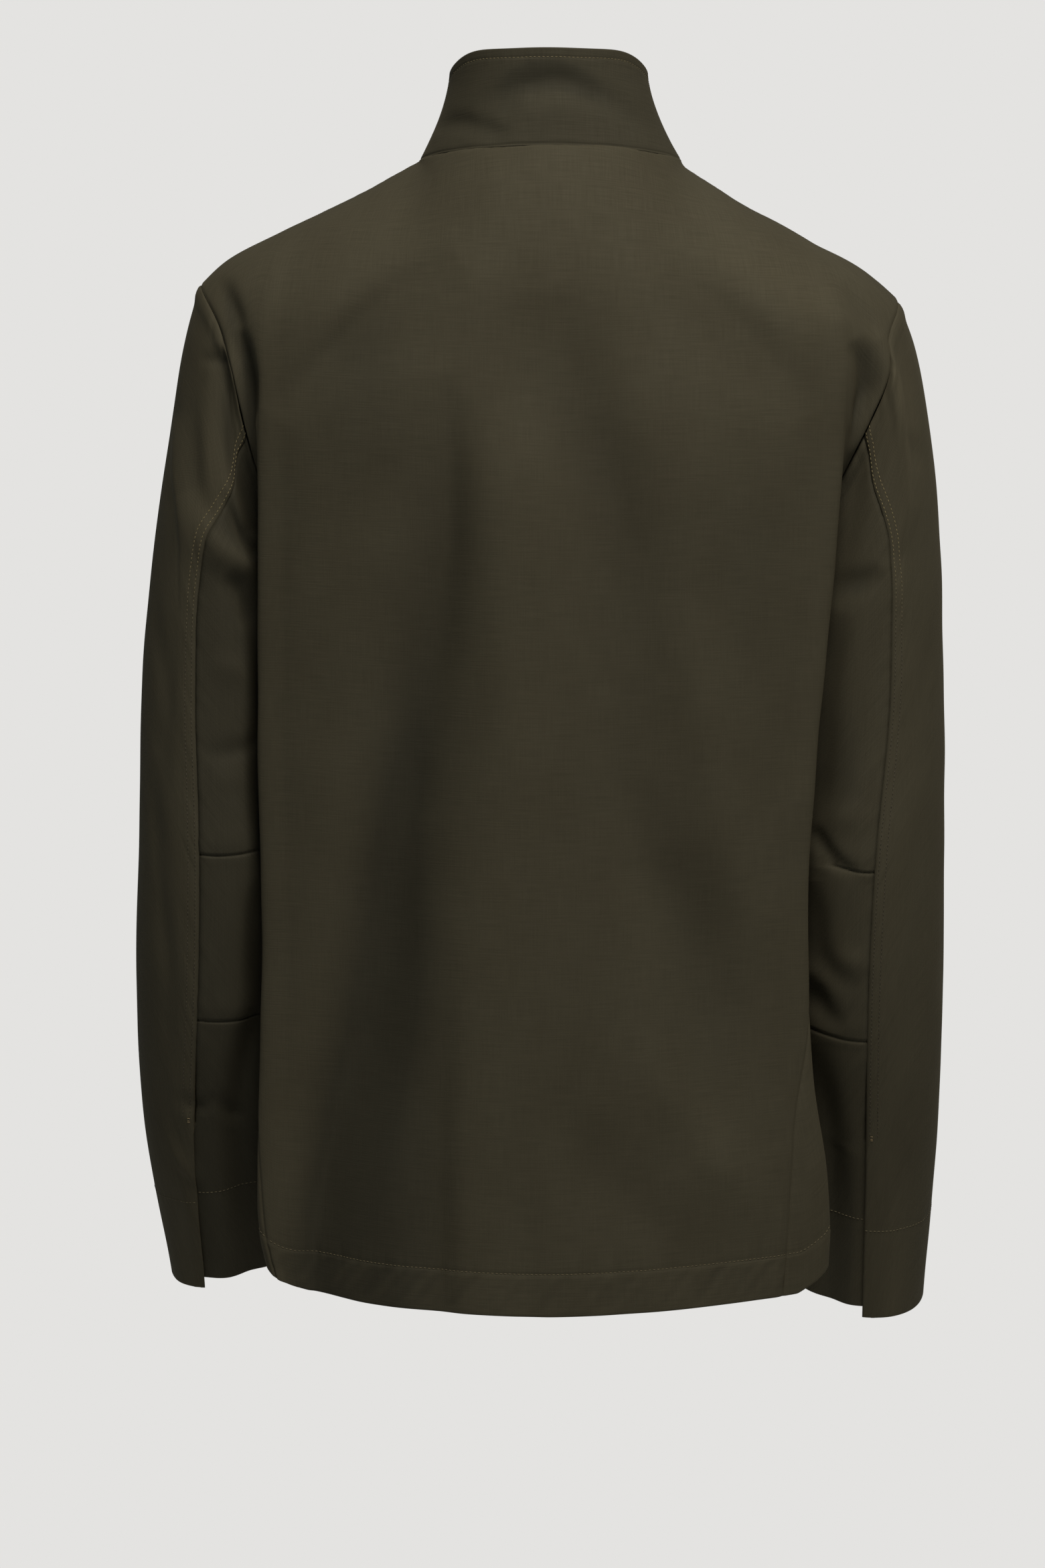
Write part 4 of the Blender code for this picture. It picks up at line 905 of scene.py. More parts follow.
def collar_point(side, angle, rise):
    """The collar's outer surface: rise is 0 at the neckline and 1 at its top edge."""
    a = np.radians(angle)
    forward = np.clip(-np.cos(a), 0, None)
    top_z = COLLAR_HEIGHT - COLLAR_SIDE_FALL * (1 - np.cos(a)) - COLLAR_FRONT_FALL * forward**2
    raised, middle, spread = COLLAR_SHOULDERS
    top_z += raised * np.exp(-(((angle - middle) / spread) ** 2))
    top = stack(COLLAR_TOP_WIDTH[side] * np.sin(a), NECK_MIDDLE_Y + COLLAR_TOP_DEPTH * np.cos(a), top_z)
    fall = 1 - rise
    return top + (neckline(side, angle) - top) * stack(fall**COLLAR_FLARE, fall**COLLAR_FLARE, fall)


def grid_distances(points, start, end):
    """Distances on a grid from its first and last rows, by the names given, and from its outer columns."""
    return {
        start: arcs(points, 0),
        end: arcs(points, 0, True),
        "first": arcs(points, 1),
        "last": arcs(points, 1, True),
    }


angle, rise = np.meshgrid(COLLAR_ANGLES, COLLAR_RISES)
right, left = (collar_point(side, angle, rise) for side in ("right", "left"))
points = across(right, lapped(left))
points[0, :, 2] += SEAM_GAP
normals = -grid_normals(points)
wide = arcs(points, 1)
wide = wide - wide[:, [len(COLLAR_ANGLES) - 1]]
far = grid_distances(points, "seam", "top")
folds = creased(points, normals, COLLAR_CREASES, 1) + creased(points, normals, COLLAR_FRONT_CREASES, -1)
stitched = groove(far["top"] - COLLAR_STITCH, *COLLAR_STITCH_DIP)
depth = folds + (groove(far["seam"], *COLLAR_SEAM_DIP) + stitched)
ends = np.minimum(far["first"], far["last"])
depth += groove(ends - COLLAR_STITCH, *COLLAR_STITCH_DIP) * ease((far["top"] - COLLAR_STITCH) / 2)
depth += pucker(far["top"], wide, COLLAR_STITCH, 1.5, *COLLAR_PUCKER)
depth += 0.2 * ripple(wide, 46.0, 4.0) * ripple(far["top"], 50.0, 2.0)
collar_points, collar_far = points - depth[..., None] * normals, far
full = fullness(far["top"], far["first"], far["last"])
grain = np.stack([wide, far["seam"]], axis=-1)
# The folds, the arc and the whole collar's value give its painted shade and highlight.
painted_shading = folds + creased(points, normals, COLLAR_PAINTED_SHADES, 1) + COLLAR_PAINTED_SHADE
collar = cloth_piece("stand_collar", collar_points, normals, full, grain, painted_shading, "collar")


# ---- The sleeves ----
# Each sleeve is a top part and an under part. The back seam between them is pressed towards the top part and
# stitched down with two rows. Two darts shape the elbow. At the cuff the seam stays open as a lapped vent.
HOLE_GAP = 0.1  # between a sleeve's head and the armhole
CAP_REACH, TURN_REACH = 0.4, 0.25
UNDERARM_PULL, PULL_TURNS, PULL_TURN_FADE = 3.0, (105.0, 255.0), 25.0
PULL_START, PULL_END, PULL_FADE = 0.05, 0.1, 0.25
FRONT_SEAM_ANGLE = -108.0
HOLE_SEAMS = {"left": (-109.783, 114.473), "right": (-106.682, 116.104)}  # its seams' angles at the armhole
VENT_TOP, VENT_LAP, VENT_SINK, VENT_START, VENT_RAMP = 0.855, 18.0, 2.4, 0.015, 0.06
VENT_SINK_TURN, VENT_SHORT = 25.0, 0.0085
CUFF_STITCH = 59.0
ROW_GAP = 0.0006  # rows of its grid lie at least this far apart, but for those at its ends
SLEEVE_ROWS, DART_ROWS, VENT_ROWS, STITCH_ROWS = 200, 29, 10, 9
DART_REACH, VENT_REACH, STITCH_SHARE, STITCH_REACH = 0.014, 0.004, 0.9075, 0.006
FIRST_ROWS, LAST_ROWS = (0.0, 0.0008, 0.0018, 0.003), (0.9965, 0.998, 0.9989, 0.9995, 0.9998, 1.0)
SLEEVE_COLUMNS, SEAM_CROWDING = {"top": 132, "under": 84}, 1.15
HEAD_DIP, HEAD_ROLL, HEAD_ROLL_PLACE = (0.8, 1.2), (1.0, 5.0), 6.0
SLEEVE_SEAM_DIP, CUFF_DIP, SEAM_STITCH_DIP = (0.8, 1.1), (0.28, 0.9), (0.1, 0.6)
HEAD_PUCKER, CUFF_PUCKER = (0.35, 8.0, 16.0), (0.2, 5.0, 9.0)
SEAM_PUCKER = {"top": (0.18, 6.0, 8.0), "under": (0.25, 7.0, 12.0)}
RAISED_HEIGHT, RAISED_WIDTH, RAISED_EDGE = 0.15, 8.4, 2.4  # the top part beside the back seam
UNDER_PAINTED_SHADES = {"left": 18.0, "right": 9.0}  # painted shade on the under parts, as a fold's depth
SEAM_PAINTED_SHADE, SEAM_PAINTED_SHADE_WIDTH = 14.0, 1.4  # painted shade in the back seam's groove
SEAM_STITCHES = (2.5, 7.2)  # distances of the two rows from the back seam

# Rings down a sleeve. outer, inner: its outermost and innermost points. middle_y, half_y: its place and half
# its depth. drop: how much lower the back of the ring is than its middle. back_seam: the back seam's angle.
SLEEVES = {
    "left": table(
        "share outer_x outer_z inner_x inner_z middle_y half_y drop back_seam",
        [
            (0.00, 218, -81, 150.5, -250, -6, 60, 0, 107),
            (0.07, 227, -112, 150.5, -260, -6, 61, 0, 104),
            (0.18, 239, -184, 150.5, -284, -6, 61, 0, 85),
            (0.30, 248, -246, 152, -318, -5, 60, 0, 72),
            (0.44, 255, -322, 154, -368, -3, 58, 0, 74),
            (0.60, 257, -428, 157, -448, 0, 57, 3, 80),
            (0.74, 259.5, -517, 161, -524, -8, 54, 8, 82),
            (0.87, 256, -611, 161, -607, -28, 49, 12, 74),
            (1.00, 240.5, -709, 158, -694, -54, 45, 14, 65),
        ],
    ),
    "right": table(
        "share outer_x outer_z inner_x inner_z middle_y half_y drop back_seam",
        [
            (0.00, 222, -91, 150.5, -250, -6, 60, 0, 108),
            (0.07, 233, -120, 150.5, -263, -6, 61, 0, 106),
            (0.18, 245, -188, 151, -288, -6, 61, 0, 91),
            (0.30, 250, -250, 151.5, -322, -5, 60, 0, 77),
            (0.44, 252, -326, 152.5, -372, -3, 58, 0, 76),
            (0.60, 252, -434, 153.5, -454, 0, 57, 3, 88),
            (0.74, 252, -525, 156, -532, -8, 54, 8, 94),
            (0.87, 250, -620, 157, -620, -28, 49, 13, 93),
            (1.00, 243.5, -722, 157, -711, -54, 45, 19, 89),
        ],
    ),
}

# Elbow darts, from the back seam inwards: points with x, z and depth.
DARTS = {
    "left": (
        ((219, -440.5, 1.5), (205, -442, 1.5), (190, -441, 1.4), (176, -438, 1.1), (164, -435, 0)),
        ((221, -544.5, 1.5), (206, -545.5, 1.5), (190, -545, 1.4), (176, -542, 1.1), (163, -540, 0)),
    ),
    "right": (
        ((-207, -452, 1.5), (-196, -452, 1.5), (-184, -449.5, 1.5), (-172, -446, 1.2), (-160, -442, 0)),
        ((-203, -558, 1.5), (-190, -557, 1.5), (-178, -554.5, 1.5), (-166, -550, 1.2), (-158, -545, 0)),
    ),
}
DART_SHARES = {"left": (0.6, 0.765), "right": (0.607, 0.772)}
SLEEVE_CREASES = {
    "left": (
        ((233, -164, 0, 3, 6), (231.5, -185, -2.4, 3, 8), (230.5, -205, -3, 3, 9),
         (227.5, -225, -3.2, 3, 10), (225.5, -245, -2.8, 3, 9), (226.5, -266, -2, 3, 7),
         (227, -290, 0, 3, 6)),
        ((222, -214, 0, 10, 8), (215, -232, -2.8, 14, 8), (205, -247, -4.8, 14, 8),
         (194, -257, -4.8, 10, 8), (182, -264, -2, 7, 8)),
        ((203, -122, 0, 6, 5), (200, -138, 4, 8, 6), (197, -160, 6, 9, 7), (195, -180, 6, 9, 7),
         (191, -200, 5, 8, 6), (186, -218, 4, 7, 6), (181, -236, 3, 6, 6)),
        ((217, -131, 0, 4, 4), (207, -132, 1.6, 4, 4), (198, -130, 1.6, 4, 4), (192, -128, 0, 4, 4)),
        ((215, -148, 0, 5, 5), (212, -180, -1.6, 5, 5), (210, -208, -1.6, 5, 5), (206, -228, 0, 5, 5)),
        ((202, -214, 0, 4, 4), (195, -230, 3.6, 5, 4), (188, -242, 5.2, 5, 4), (181, -252, 3.4, 5, 4)),
        ((201, -268, 0, 6, 7), (191, -277, 4.8, 8, 9), (183, -290, 7, 9, 9), (178, -306, 4.6, 8, 8),
         (175, -340, 4.5, 8, 8), (176, -372, 5, 8, 8), (176, -405, 5, 8, 8), (174, -436, 2.5, 8, 8)),
        ((232, -290, 0, 8, 6), (235, -326, 1.4, 8, 6), (238, -367, 1.2, 8, 6), (238, -410, 0, 8, 6)),
        ((211, -318, 0, 9, 8), (196, -325, -1.2, 9, 8), (178, -328, 0, 9, 8)),
        ((216, -375, 0, 5, 6), (204, -378, 1.3, 5, 7), (190, -376, 2, 5, 7), (172, -369, 1.2, 5, 6)),
        ((212, -390, 0, 7, 6), (198, -394, -0.7, 7, 6), (180, -390, 0, 7, 6)),
        ((244, -380, 0, 4, 5), (245, -410, 1.3, 4, 6), (242, -450, 1.5, 4, 6), (237, -500, 1.4, 5, 7),
         (236, -550, 1.2, 6, 7), (240, -590, 0, 6, 7)),
        ((236, -590, 0, 5, 5), (226, -597, 1.5, 5, 5), (216, -599, 1.6, 4, 5), (208, -597, 0, 4, 5)),
        ((238, -618, 0, 3, 5), (233, -632, -1.4, 3, 6), (224, -644, -1.4, 3, 6), (218, -652, 0, 3, 5)),
        ((232, -640, 0, 9, 8), (236, -668, 1.9, 9, 8), (230, -694, 1.6, 9, 8), (225, -715, 0, 9, 8)),
        ((176, -456, 0, 7, 8), (180, -476, 3, 8, 8), (179, -510, 5, 9, 8), (178, -536, 4, 9, 8),
         (183, -562, 7, 12, 8), (188, -592, 8.5, 14, 9), (191, -626, 8, 15, 11), (187, -676, 6.5, 14, 12),
         (184, -715, 5, 12, 12)),
        ((210, -590, 0, 5, 5), (202, -600, 1.6, 5, 5), (194, -606, 2, 5, 5), (182, -608, 0, 5, 5)),
    ),
    "right": (
        ((-208, -122, 0, 3, 5), (-213, -135, -1.8, 3, 5), (-216, -150, -2.2, 3, 6),
         (-220, -175, -1.8, 3, 6), (-223, -205, -1.8, 3, 6), (-224, -228, -1.4, 3, 6),
         (-220, -252, 0, 3, 6)),
        ((-226, -176, 0, 4, 6), (-230, -190, 1.6, 4, 7), (-231, -206, 0.8, 4, 7), (-230, -224, 0, 4, 6)),
        ((-218, -256, 0, 8, 8), (-219, -272, -1.6, 8, 8), (-221, -300, -0.8, 8, 8),
         (-223, -330, -1.2, 8, 8), (-224, -362, 0, 8, 8)),
        ((-208, -262, 0, 6, 7), (-198, -270, 3, 7, 8), (-184, -274, 2.2, 8, 8), (-174, -282, 1, 8, 8)),
        ((-184, -290, 0, 8, 9), (-176, -316, 4, 9, 10), (-172, -350, 4.5, 9, 10), (-170, -380, 5, 9, 10),
         (-167, -402, 5.5, 8, 11), (-164, -424, 3, 7, 9)),
        ((-163, -424, 0, 5, 5), (-171, -434, 3.2, 6, 5), (-181, -445, 3, 6, 4), (-190, -451, 1.2, 5, 4)),
        ((-198, -408, 0, 8, 8), (-188, -418, -1.4, 8, 8), (-176, -424, 0, 8, 8)),
        ((-166, -458, 0, 7, 8), (-168, -480, 2.4, 8, 8), (-170, -504, 3.2, 8, 8), (-182, -518, 1.8, 7, 7),
         (-198, -526, 0, 6, 6)),
        ((-162, -516, 0, 6, 6), (-168, -530, 4, 7, 7), (-176, -541, 2.8, 7, 6), (-188, -549, 0, 6, 5)),
        ((-206, -505, 0, 7, 7), (-192, -508, -1.2, 7, 7), (-178, -502, 0, 7, 7)),
        ((-168, -560, 0, 8, 9), (-172, -590, 4.5, 9, 11), (-178, -622, 6, 10, 12),
         (-180, -662, 6.5, 10, 13), (-180, -704, 6, 10, 12), (-180, -735, 4, 10, 11)),
        ((-232, -400, 0, 12, 12), (-236, -450, 1.2, 12, 12), (-232, -520, 1.2, 12, 12),
         (-228, -580, 0, 12, 12)),
        ((-222, -610, 0, 9, 9), (-228, -650, 1.3, 9, 9), (-226, -700, 1, 9, 9), (-224, -730, 0, 9, 9)),
    ),
}
# Painted shade (above 0) and painted highlight (below 0) on each part of each sleeve.
SLEEVE_PAINTED_SHADES = {
    ("left", "top"): (
        ((204, -124, 0, 5, 5), (201, -136, 9, 6, 6), (199, -160, 13, 8, 6), (197, -185, 15, 8, 6),
         (193, -205, 12, 6, 5), (188, -225, 8, 5, 5), (186, -240, 0, 4, 4)),
        ((218, -131, 0, 4, 4), (208, -132, 9, 5, 5), (199, -132, 8, 5, 5), (193, -132, 0, 4, 4)),
        ((215, -150, 0, 4, 4), (215, -180, 5, 4, 4), (214, -210, 5, 4, 4), (212, -226, 0, 4, 4)),
        ((235, -160, 0, 1.5, 1.5), (235, -172, -20, 1.6, 1.6), (234, -200, -26, 2, 2),
         (230.5, -230, -26, 2, 2), (229.5, -255, -26, 2, 2), (230, -276, -16, 1.6, 1.6),
         (230, -290, 0, 1.5, 1.5)),
        ((236, -300, 0, 8, 8), (236, -340, 5, 9, 9), (236, -380, 6, 10, 9), (236, -470, 7, 10, 9),
         (236, -560, 6, 10, 9), (234, -600, 0, 8, 8)),
        ((244, -240, 0, 4, 3), (247, -285, -7, 5, 4), (250, -330, 0, 5, 4)),
        ((234, -630, 0, 8, 8), (231, -680, -12, 9, 9), (227, -715, -10, 9, 9)),
    ),
    ("left", "under"): (
        ((203, -226, 0, 4, 4), (195, -236, 10, 5, 4), (188, -247, 14, 5, 5), (183, -255, 8, 5, 4),
         (180, -262, 0, 4, 4)),
        ((194, -268, 0, 5, 5), (191, -276, 8, 6, 6), (188, -290, 10, 7, 7), (184, -306, 6, 6, 7),
         (182, -330, 0, 6, 6)),
        ((185, -548, 0, 3, 8), (195, -563, 11, 3, 11), (203, -594, 13, 3.5, 16), (209, -625, 12, 4, 20),
         (210, -655, 8, 8, 22), (206, -692, 4, 10, 22)),
        ((217.5, -604, 0, 3, 2), (217.5, -614, 16, 4, 2.4), (217, -640, 16, 4, 2.4),
         (216, -660, 12, 4, 2.2), (215, -678, 0, 3, 2)),
    ),
    ("right", "top"): (
        ((-212, -132, 0, 2, 3), (-217, -142, -8, 2, 3), (-221, -165, -8, 2, 3), (-225, -205, -8, 2, 3),
         (-226, -232, -6, 2, 3), (-222, -256, 0, 2, 3)),
        ((-216, -262, 0, 5, 5), (-219, -272, -8, 5, 6), (-221, -284, -4, 5, 6), (-222, -296, 0, 5, 5)),
        ((-224, -120, 0, 8, 8), (-226, -150, -13, 9, 9), (-230, -190, -11, 9, 9), (-232, -240, 0, 9, 9)),
        ((-228, -620, 0, 10, 10), (-224, -690, -12, 12, 12), (-220, -730, -12, 12, 12)),
    ),
    ("right", "under"): (
        ((-203, -268, 0, 5, 6), (-196, -274, 7, 6, 6), (-186, -276, 6, 6, 6), (-178, -280, 0, 6, 6)),
        ((-186, -340, 0, 8, 8), (-187, -390, 7, 10, 9), (-187, -425, 0, 8, 8)),
        ((-182, -470, 0, 8, 8), (-182, -503, -7, 9, 9), (-182, -530, 0, 8, 8)),
        ((-184, -612, 0, 8, 8), (-186, -640, 7, 9, 9), (-186, -676, 11, 10, 10), (-186, -730, 11, 10, 10)),
    ),
}

# On the front of both sleeves, at distances outwards from the middle of the body.
SLEEVE_FRONT_CREASES = (
    ((228, -150, 0, 8, 8), (222, -196, -1.6, 9, 9), (206, -236, -1.8, 9, 9), (184, -262, 0, 8, 8)),
    ((214, -150, 0, 8, 8), (206, -190, 2, 9, 9), (194, -222, 1.6, 9, 9), (180, -240, 0, 8, 8)),
    ((168, -400, 0, 7, 7), (186, -414, 1.6, 7, 7), (210, -420, 1.4, 7, 7), (234, -414, 0, 7, 7)),
    ((170, -450, 0, 7, 7), (190, -458, 1.8, 7, 7), (214, -456, 1.4, 7, 7), (236, -446, 0, 7, 7)),
    ((172, -502, 0, 7, 7), (192, -512, 1.3, 7, 7), (214, -514, 1, 7, 7), (236, -504, 0, 7, 7)),
    ((238, -540, 0, 10, 10), (226, -590, 1, 10, 10), (214, -650, 1, 10, 10), (208, -700, 0, 10, 10)),
)


def ring_point(row, turn):
    """Points of a plain ring of a sleeve, at angles from its outermost point to its back."""
    a = np.radians(turn)[..., None]
    outer = stack(row["outer_x"], row["middle_y"], row["outer_z"])
    inner = stack(row["inner_x"], row["middle_y"], row["inner_z"])
    behind = stack(0 * row["half_y"], row["half_y"], -row["drop"])
    return (outer + inner) / 2 + (outer - inner) / 2 * np.cos(a) + behind * np.sin(a)


def sleeve_ring(side, share, turn):
    """The sleeve's outer surface. share runs down it. turn: the angle from its outermost line to its back."""
    sleeve = SLEEVES[side]
    row = {name: through(share, sleeve["share"], column) for name, column in sleeve.items()}
    first = {name: column[0] for name, column in sleeve.items()}
    ring, start = ring_point(row, turn), ring_point(first, turn)
    around = np.mod(turn, 360.0)
    hole = armhole(side, around) + np.array([HOLE_GAP, 0, 0])
    below = ease((around - PULL_TURNS[0]) / PULL_TURN_FADE) * ease((PULL_TURNS[1] - around) / PULL_TURN_FADE)
    away = UNDERARM_PULL * below * ease(share / PULL_START) * (1 - ease((share - PULL_END) / PULL_FADE))
    pull = stack(away, -away * np.sin(np.radians(turn)), 0)
    return ring + (1 - ease(share / CAP_REACH))[..., None] * (hole - start) + pull


def sleeve_part(side, part, rows, columns):
    """Points and normals of a sleeve's top or under part, its columns from the front or the back seam on."""
    front, split = HOLE_SEAMS[side]
    first = np.linspace(front, split, columns) if part == "top" else np.linspace(split, 360 + front, columns)
    share, column = np.meshgrid(rows, np.linspace(0, 1, columns), indexing="ij")
    if part == "under":
        share = share - VENT_SHORT * ease((share - VENT_TOP) / (1 - VENT_TOP)) * (1 - column)
    seam = through(share, SLEEVES[side]["share"], SLEEVES[side]["back_seam"])
    edge = seam - VENT_LAP * ease((share - VENT_TOP) / VENT_START) * (part == "under")
    low, high = (FRONT_SEAM_ANGLE, edge) if part == "top" else (edge, 360 + FRONT_SEAM_ANGLE)
    if part == "top":
        column = 1 - (1 - column) ** SEAM_CROWDING  # closer at the back seam, where the stitches are
    turn = low + (high - low) * column
    turn += (first - turn) * (1 - ease(share / TURN_REACH))
    points = sleeve_ring(side, share, turn)
    normals = grid_normals(points)
    way = points - np.mean(points, axis=1, keepdims=True)
    normals *= np.sign(np.sum(normals * way))
    hole = hole_normal(side, first, normals[0])
    normals = towards(normals, hole[None], arcs(points, 0))
    if part == "under":
        sink = ease((share - VENT_TOP + VENT_START + VENT_RAMP) / VENT_RAMP)
        sink = VENT_SINK * sink * (1 - ease((turn - seam) / VENT_SINK_TURN))
        points = points - sink[..., None] * normals
    return points, normals


def sleeve_rows(darts):
    """Shares down a sleeve, closer at both ends, at the darts, at the vent and at the cuff's stitches."""
    rows = list(np.linspace(0, 1, SLEEVE_ROWS))
    for at in darts:
        rows += list(at + np.linspace(-DART_REACH, DART_REACH, DART_ROWS))
    rows += list(VENT_TOP + np.linspace(-VENT_REACH, VENT_START, VENT_ROWS))
    rows += list(STITCH_SHARE + np.linspace(-STITCH_REACH, STITCH_REACH, STITCH_ROWS))
    rows = np.sort(rows)
    apart = [0.0]
    for row in rows:
        if row - apart[-1] > ROW_GAP:
            apart.append(row)
    return np.array([*FIRST_ROWS, *apart[1:-1], *LAST_ROWS])


DART_PARTS = (
    # height above the dart's seam, half widths, share of its depth
    (0, 0.7, 1.1, 0.8),
    (8, 7, 9, -0.4),
    (-4, 4, 2.5, -0.1),
)


def dart_depth(points, normals, line):
    """A dart's sharp crease with the fuller cloth above it and the flatter cloth below it."""
    line, depth = np.array(line, float), 0
    for rise, plus, minus, share in DART_PARTS:
        widths = np.tile((plus, minus), (len(line), 1))
        depth = depth + share * crease(points, normals, np.hstack([line + (0, rise, 0), widths]), 1)
    return depth


sleeve_grids = {}
for seed, (side, sign) in enumerate(SIDES.items()):
    flip = np.array([sign, 1.0, 1.0])
    rows = sleeve_rows(DART_SHARES[side])
    for part, columns in SLEEVE_COLUMNS.items():
        points, normals = sleeve_part(side, part, rows, columns)
        points, normals = points * flip, normals * flip
        far = grid_distances(points, "head", "cuff")
        seam = far["last"] if part == "top" else far["first"]
        open_vent = ease((rows - VENT_TOP) / VENT_START)[:, None]
        folds = creased(points, normals, SLEEVE_CREASES[side], 1)
        fronts = [[(x * sign, *rest) for x, *rest in line] for line in SLEEVE_FRONT_CREASES]
        at_head = ease(far["head"] / HEAD_ROLL_PLACE)
        folds = (folds + creased(points, normals, fronts, -1)) * at_head
        # Painted shade and highlight: the folds, the table, the seam's groove and, on the under parts, all
        # over.
        painted_shading = folds + creased(points, normals, SLEEVE_PAINTED_SHADES[side, part], 1)
        painted_shading += groove(seam, SEAM_PAINTED_SHADE, SEAM_PAINTED_SHADE_WIDTH)
        if part == "under":
            painted_shading += UNDER_PAINTED_SHADES[side]
        rolled = groove(far["head"] - HEAD_ROLL_PLACE, *HEAD_ROLL)
        depth = folds + (groove(far["head"], *HEAD_DIP) - rolled)
        depth += pucker(far["head"], far["first"], 3.0, 2.0 + seed, *HEAD_PUCKER)
        depth += groove(seam, *SLEEVE_SEAM_DIP) * (1 - open_vent)
        depth += groove(far["cuff"] - CUFF_STITCH, *CUFF_DIP)
        depth += pucker(far["cuff"], far["first"], CUFF_STITCH, 3.0 + seed, *CUFF_PUCKER)
        depth += 0.4 * ripple(far["first"], 61.0, 5.0 + seed) * ripple(far["head"], 97.0, 2.0 + seed)
        if part == "top":
            raised = (1 - ease((seam - RAISED_WIDTH) / RAISED_EDGE)) * at_head
            depth += groove(far["first"], *SLEEVE_SEAM_DIP) - RAISED_HEIGHT * raised
            for at in SEAM_STITCHES:
                depth += groove(seam - at, *SEAM_STITCH_DIP) * (1 - open_vent)
            depth += pucker(seam, far["head"], 5.0, 9.0 + seed, *SEAM_PUCKER[part])
        else:
            depth += groove(far["last"], *SLEEVE_SEAM_DIP)
            depth += sum(dart_depth(points, normals, line) for line in DARTS[side])
            depth += pucker(seam, far["head"], 0.0, 6.0 + seed, *SEAM_PUCKER[part])
        full = fullness(far["cuff"], np.where(open_vent > 0.5, seam, ROUND))
        points = points - depth[..., None] * normals
        sleeve_grids[side, part] = points, normals, far
        grain = np.stack([far["first"], -far["head"]], axis=-1)
        name = f"{side}_{part}_sleeve"
        made = cloth_piece(name + "_part", points, normals, full, grain, painted_shading, name)


# ---- The stitches ----
# Core-spun polyester thread close to the cloth's colour, with a painted highlight that makes it paler high
# up.
# Each stitch is a short bead of thread that dips into the cloth at both ends.
STITCH_PITCH, STITCH_LENGTH, THREAD_RADIUS = 2.7, 2.1, 0.24
SLEEVE_THREADS, HEM_THREADS = ("575039", "2A271F"), ("4A4432", "423D2D")  # painted highlight high up; low down
TACK_THREADS = ("5A4F3A", "5A4F3A")
# Heights, in metres, over which the thread's painted highlight gives way to its low colour.
THREAD_HIGHLIGHT_LEVELS = (-0.235, -0.31)
TACK_ROWS, TACK_REACH = (-0.0045, -0.0005), (0.2, 5.0)  # shares from the vent's top, distances from the seam
# A stitch: how far its thick middle reaches, how deep its ends dip, and how high it lies.
BEAD_MIDDLE, BEAD_DIP, BEAD_LIFT = 0.27, 0.9, 0.25  # shares of its length and, twice, of its radius


def thread_material(name, colour, low_colour, pitch=None):
    """Twisted thread: its fibres show as fine mottling. A painted highlight makes it paler high up.
    pitch: the distance between stitches that are worked side by side along X."""
    made, tree, output = new_material(name)
    place = add(tree, "TexCoord").outputs["Object"]
    fibres = add(tree, "TexNoise", {0: place, "Scale": 1 / (0.5 * MM), "Detail": 2.0}).outputs[0]
    height = add(tree, "SeparateXYZ", {0: place}).outputs[2]
    fall = add(tree, "MapRange", {0: height, 1: THREAD_HIGHLIGHT_LEVELS[0], 2: THREAD_HIGHLIGHT_LEVELS[1]}).outputs[0]
    ramp = add(tree, "ValToRGB", {0: fall})
    for element, shade in zip(ramp.color_ramp.elements, (colour, low_colour)):
        element.color = linear(shade)
    depth = add(tree, "MapRange", {0: fibres, 1: 0.3, 2: 0.7, 3: 0.65, 4: 1.0}).outputs[0]
    dyed = add(tree, "VectorMath", {0: ramp.outputs[0], "Scale": depth}, operation="SCALE").outputs[0]
    bump = add(tree, "Bump", {"Strength": 0.4, "Distance": 0.05 * MM, "Height": fibres})
    if pitch:
        ribs = add(tree, "TexWave", {0: place, "Scale": math.pi / 10 / (pitch * MM)}, bands_direction="X")
        ridges = {"Height": ribs.outputs["Fac"], "Normal": bump.outputs[0]}
        bump = add(tree, "Bump", {"Strength": 0.9, "Distance": 0.2 * MM, **ridges})
    sockets = {"Base Color": dyed, "Roughness": 0.6, "Normal": bump.outputs[0], "Specular IOR Level": 0.2}
    shader = add(tree, "BsdfPrincipled", sockets)
    tree.links.new(shader.outputs[0], output.inputs[0])
    return made


def line_on(points, normals, distance, at):
    """The line on a grid where a distance, which grows or falls down its columns, has a value."""
    path, up = [], []
    for j in range(points.shape[1]):
        order = np.argsort(distance[:, j], kind="stable")
        known = distance[order, j]
        if known[0] <= at <= known[-1]:
            path.append([np.interp(at, known, points[order, j, k]) for k in range(3)])
            up.append([np.interp(at, known, normals[order, j, k]) for k in range(3)])
    return np.array(path), np.array(up)


def turned(grid):
    return np.swapaxes(grid, 0, 1)


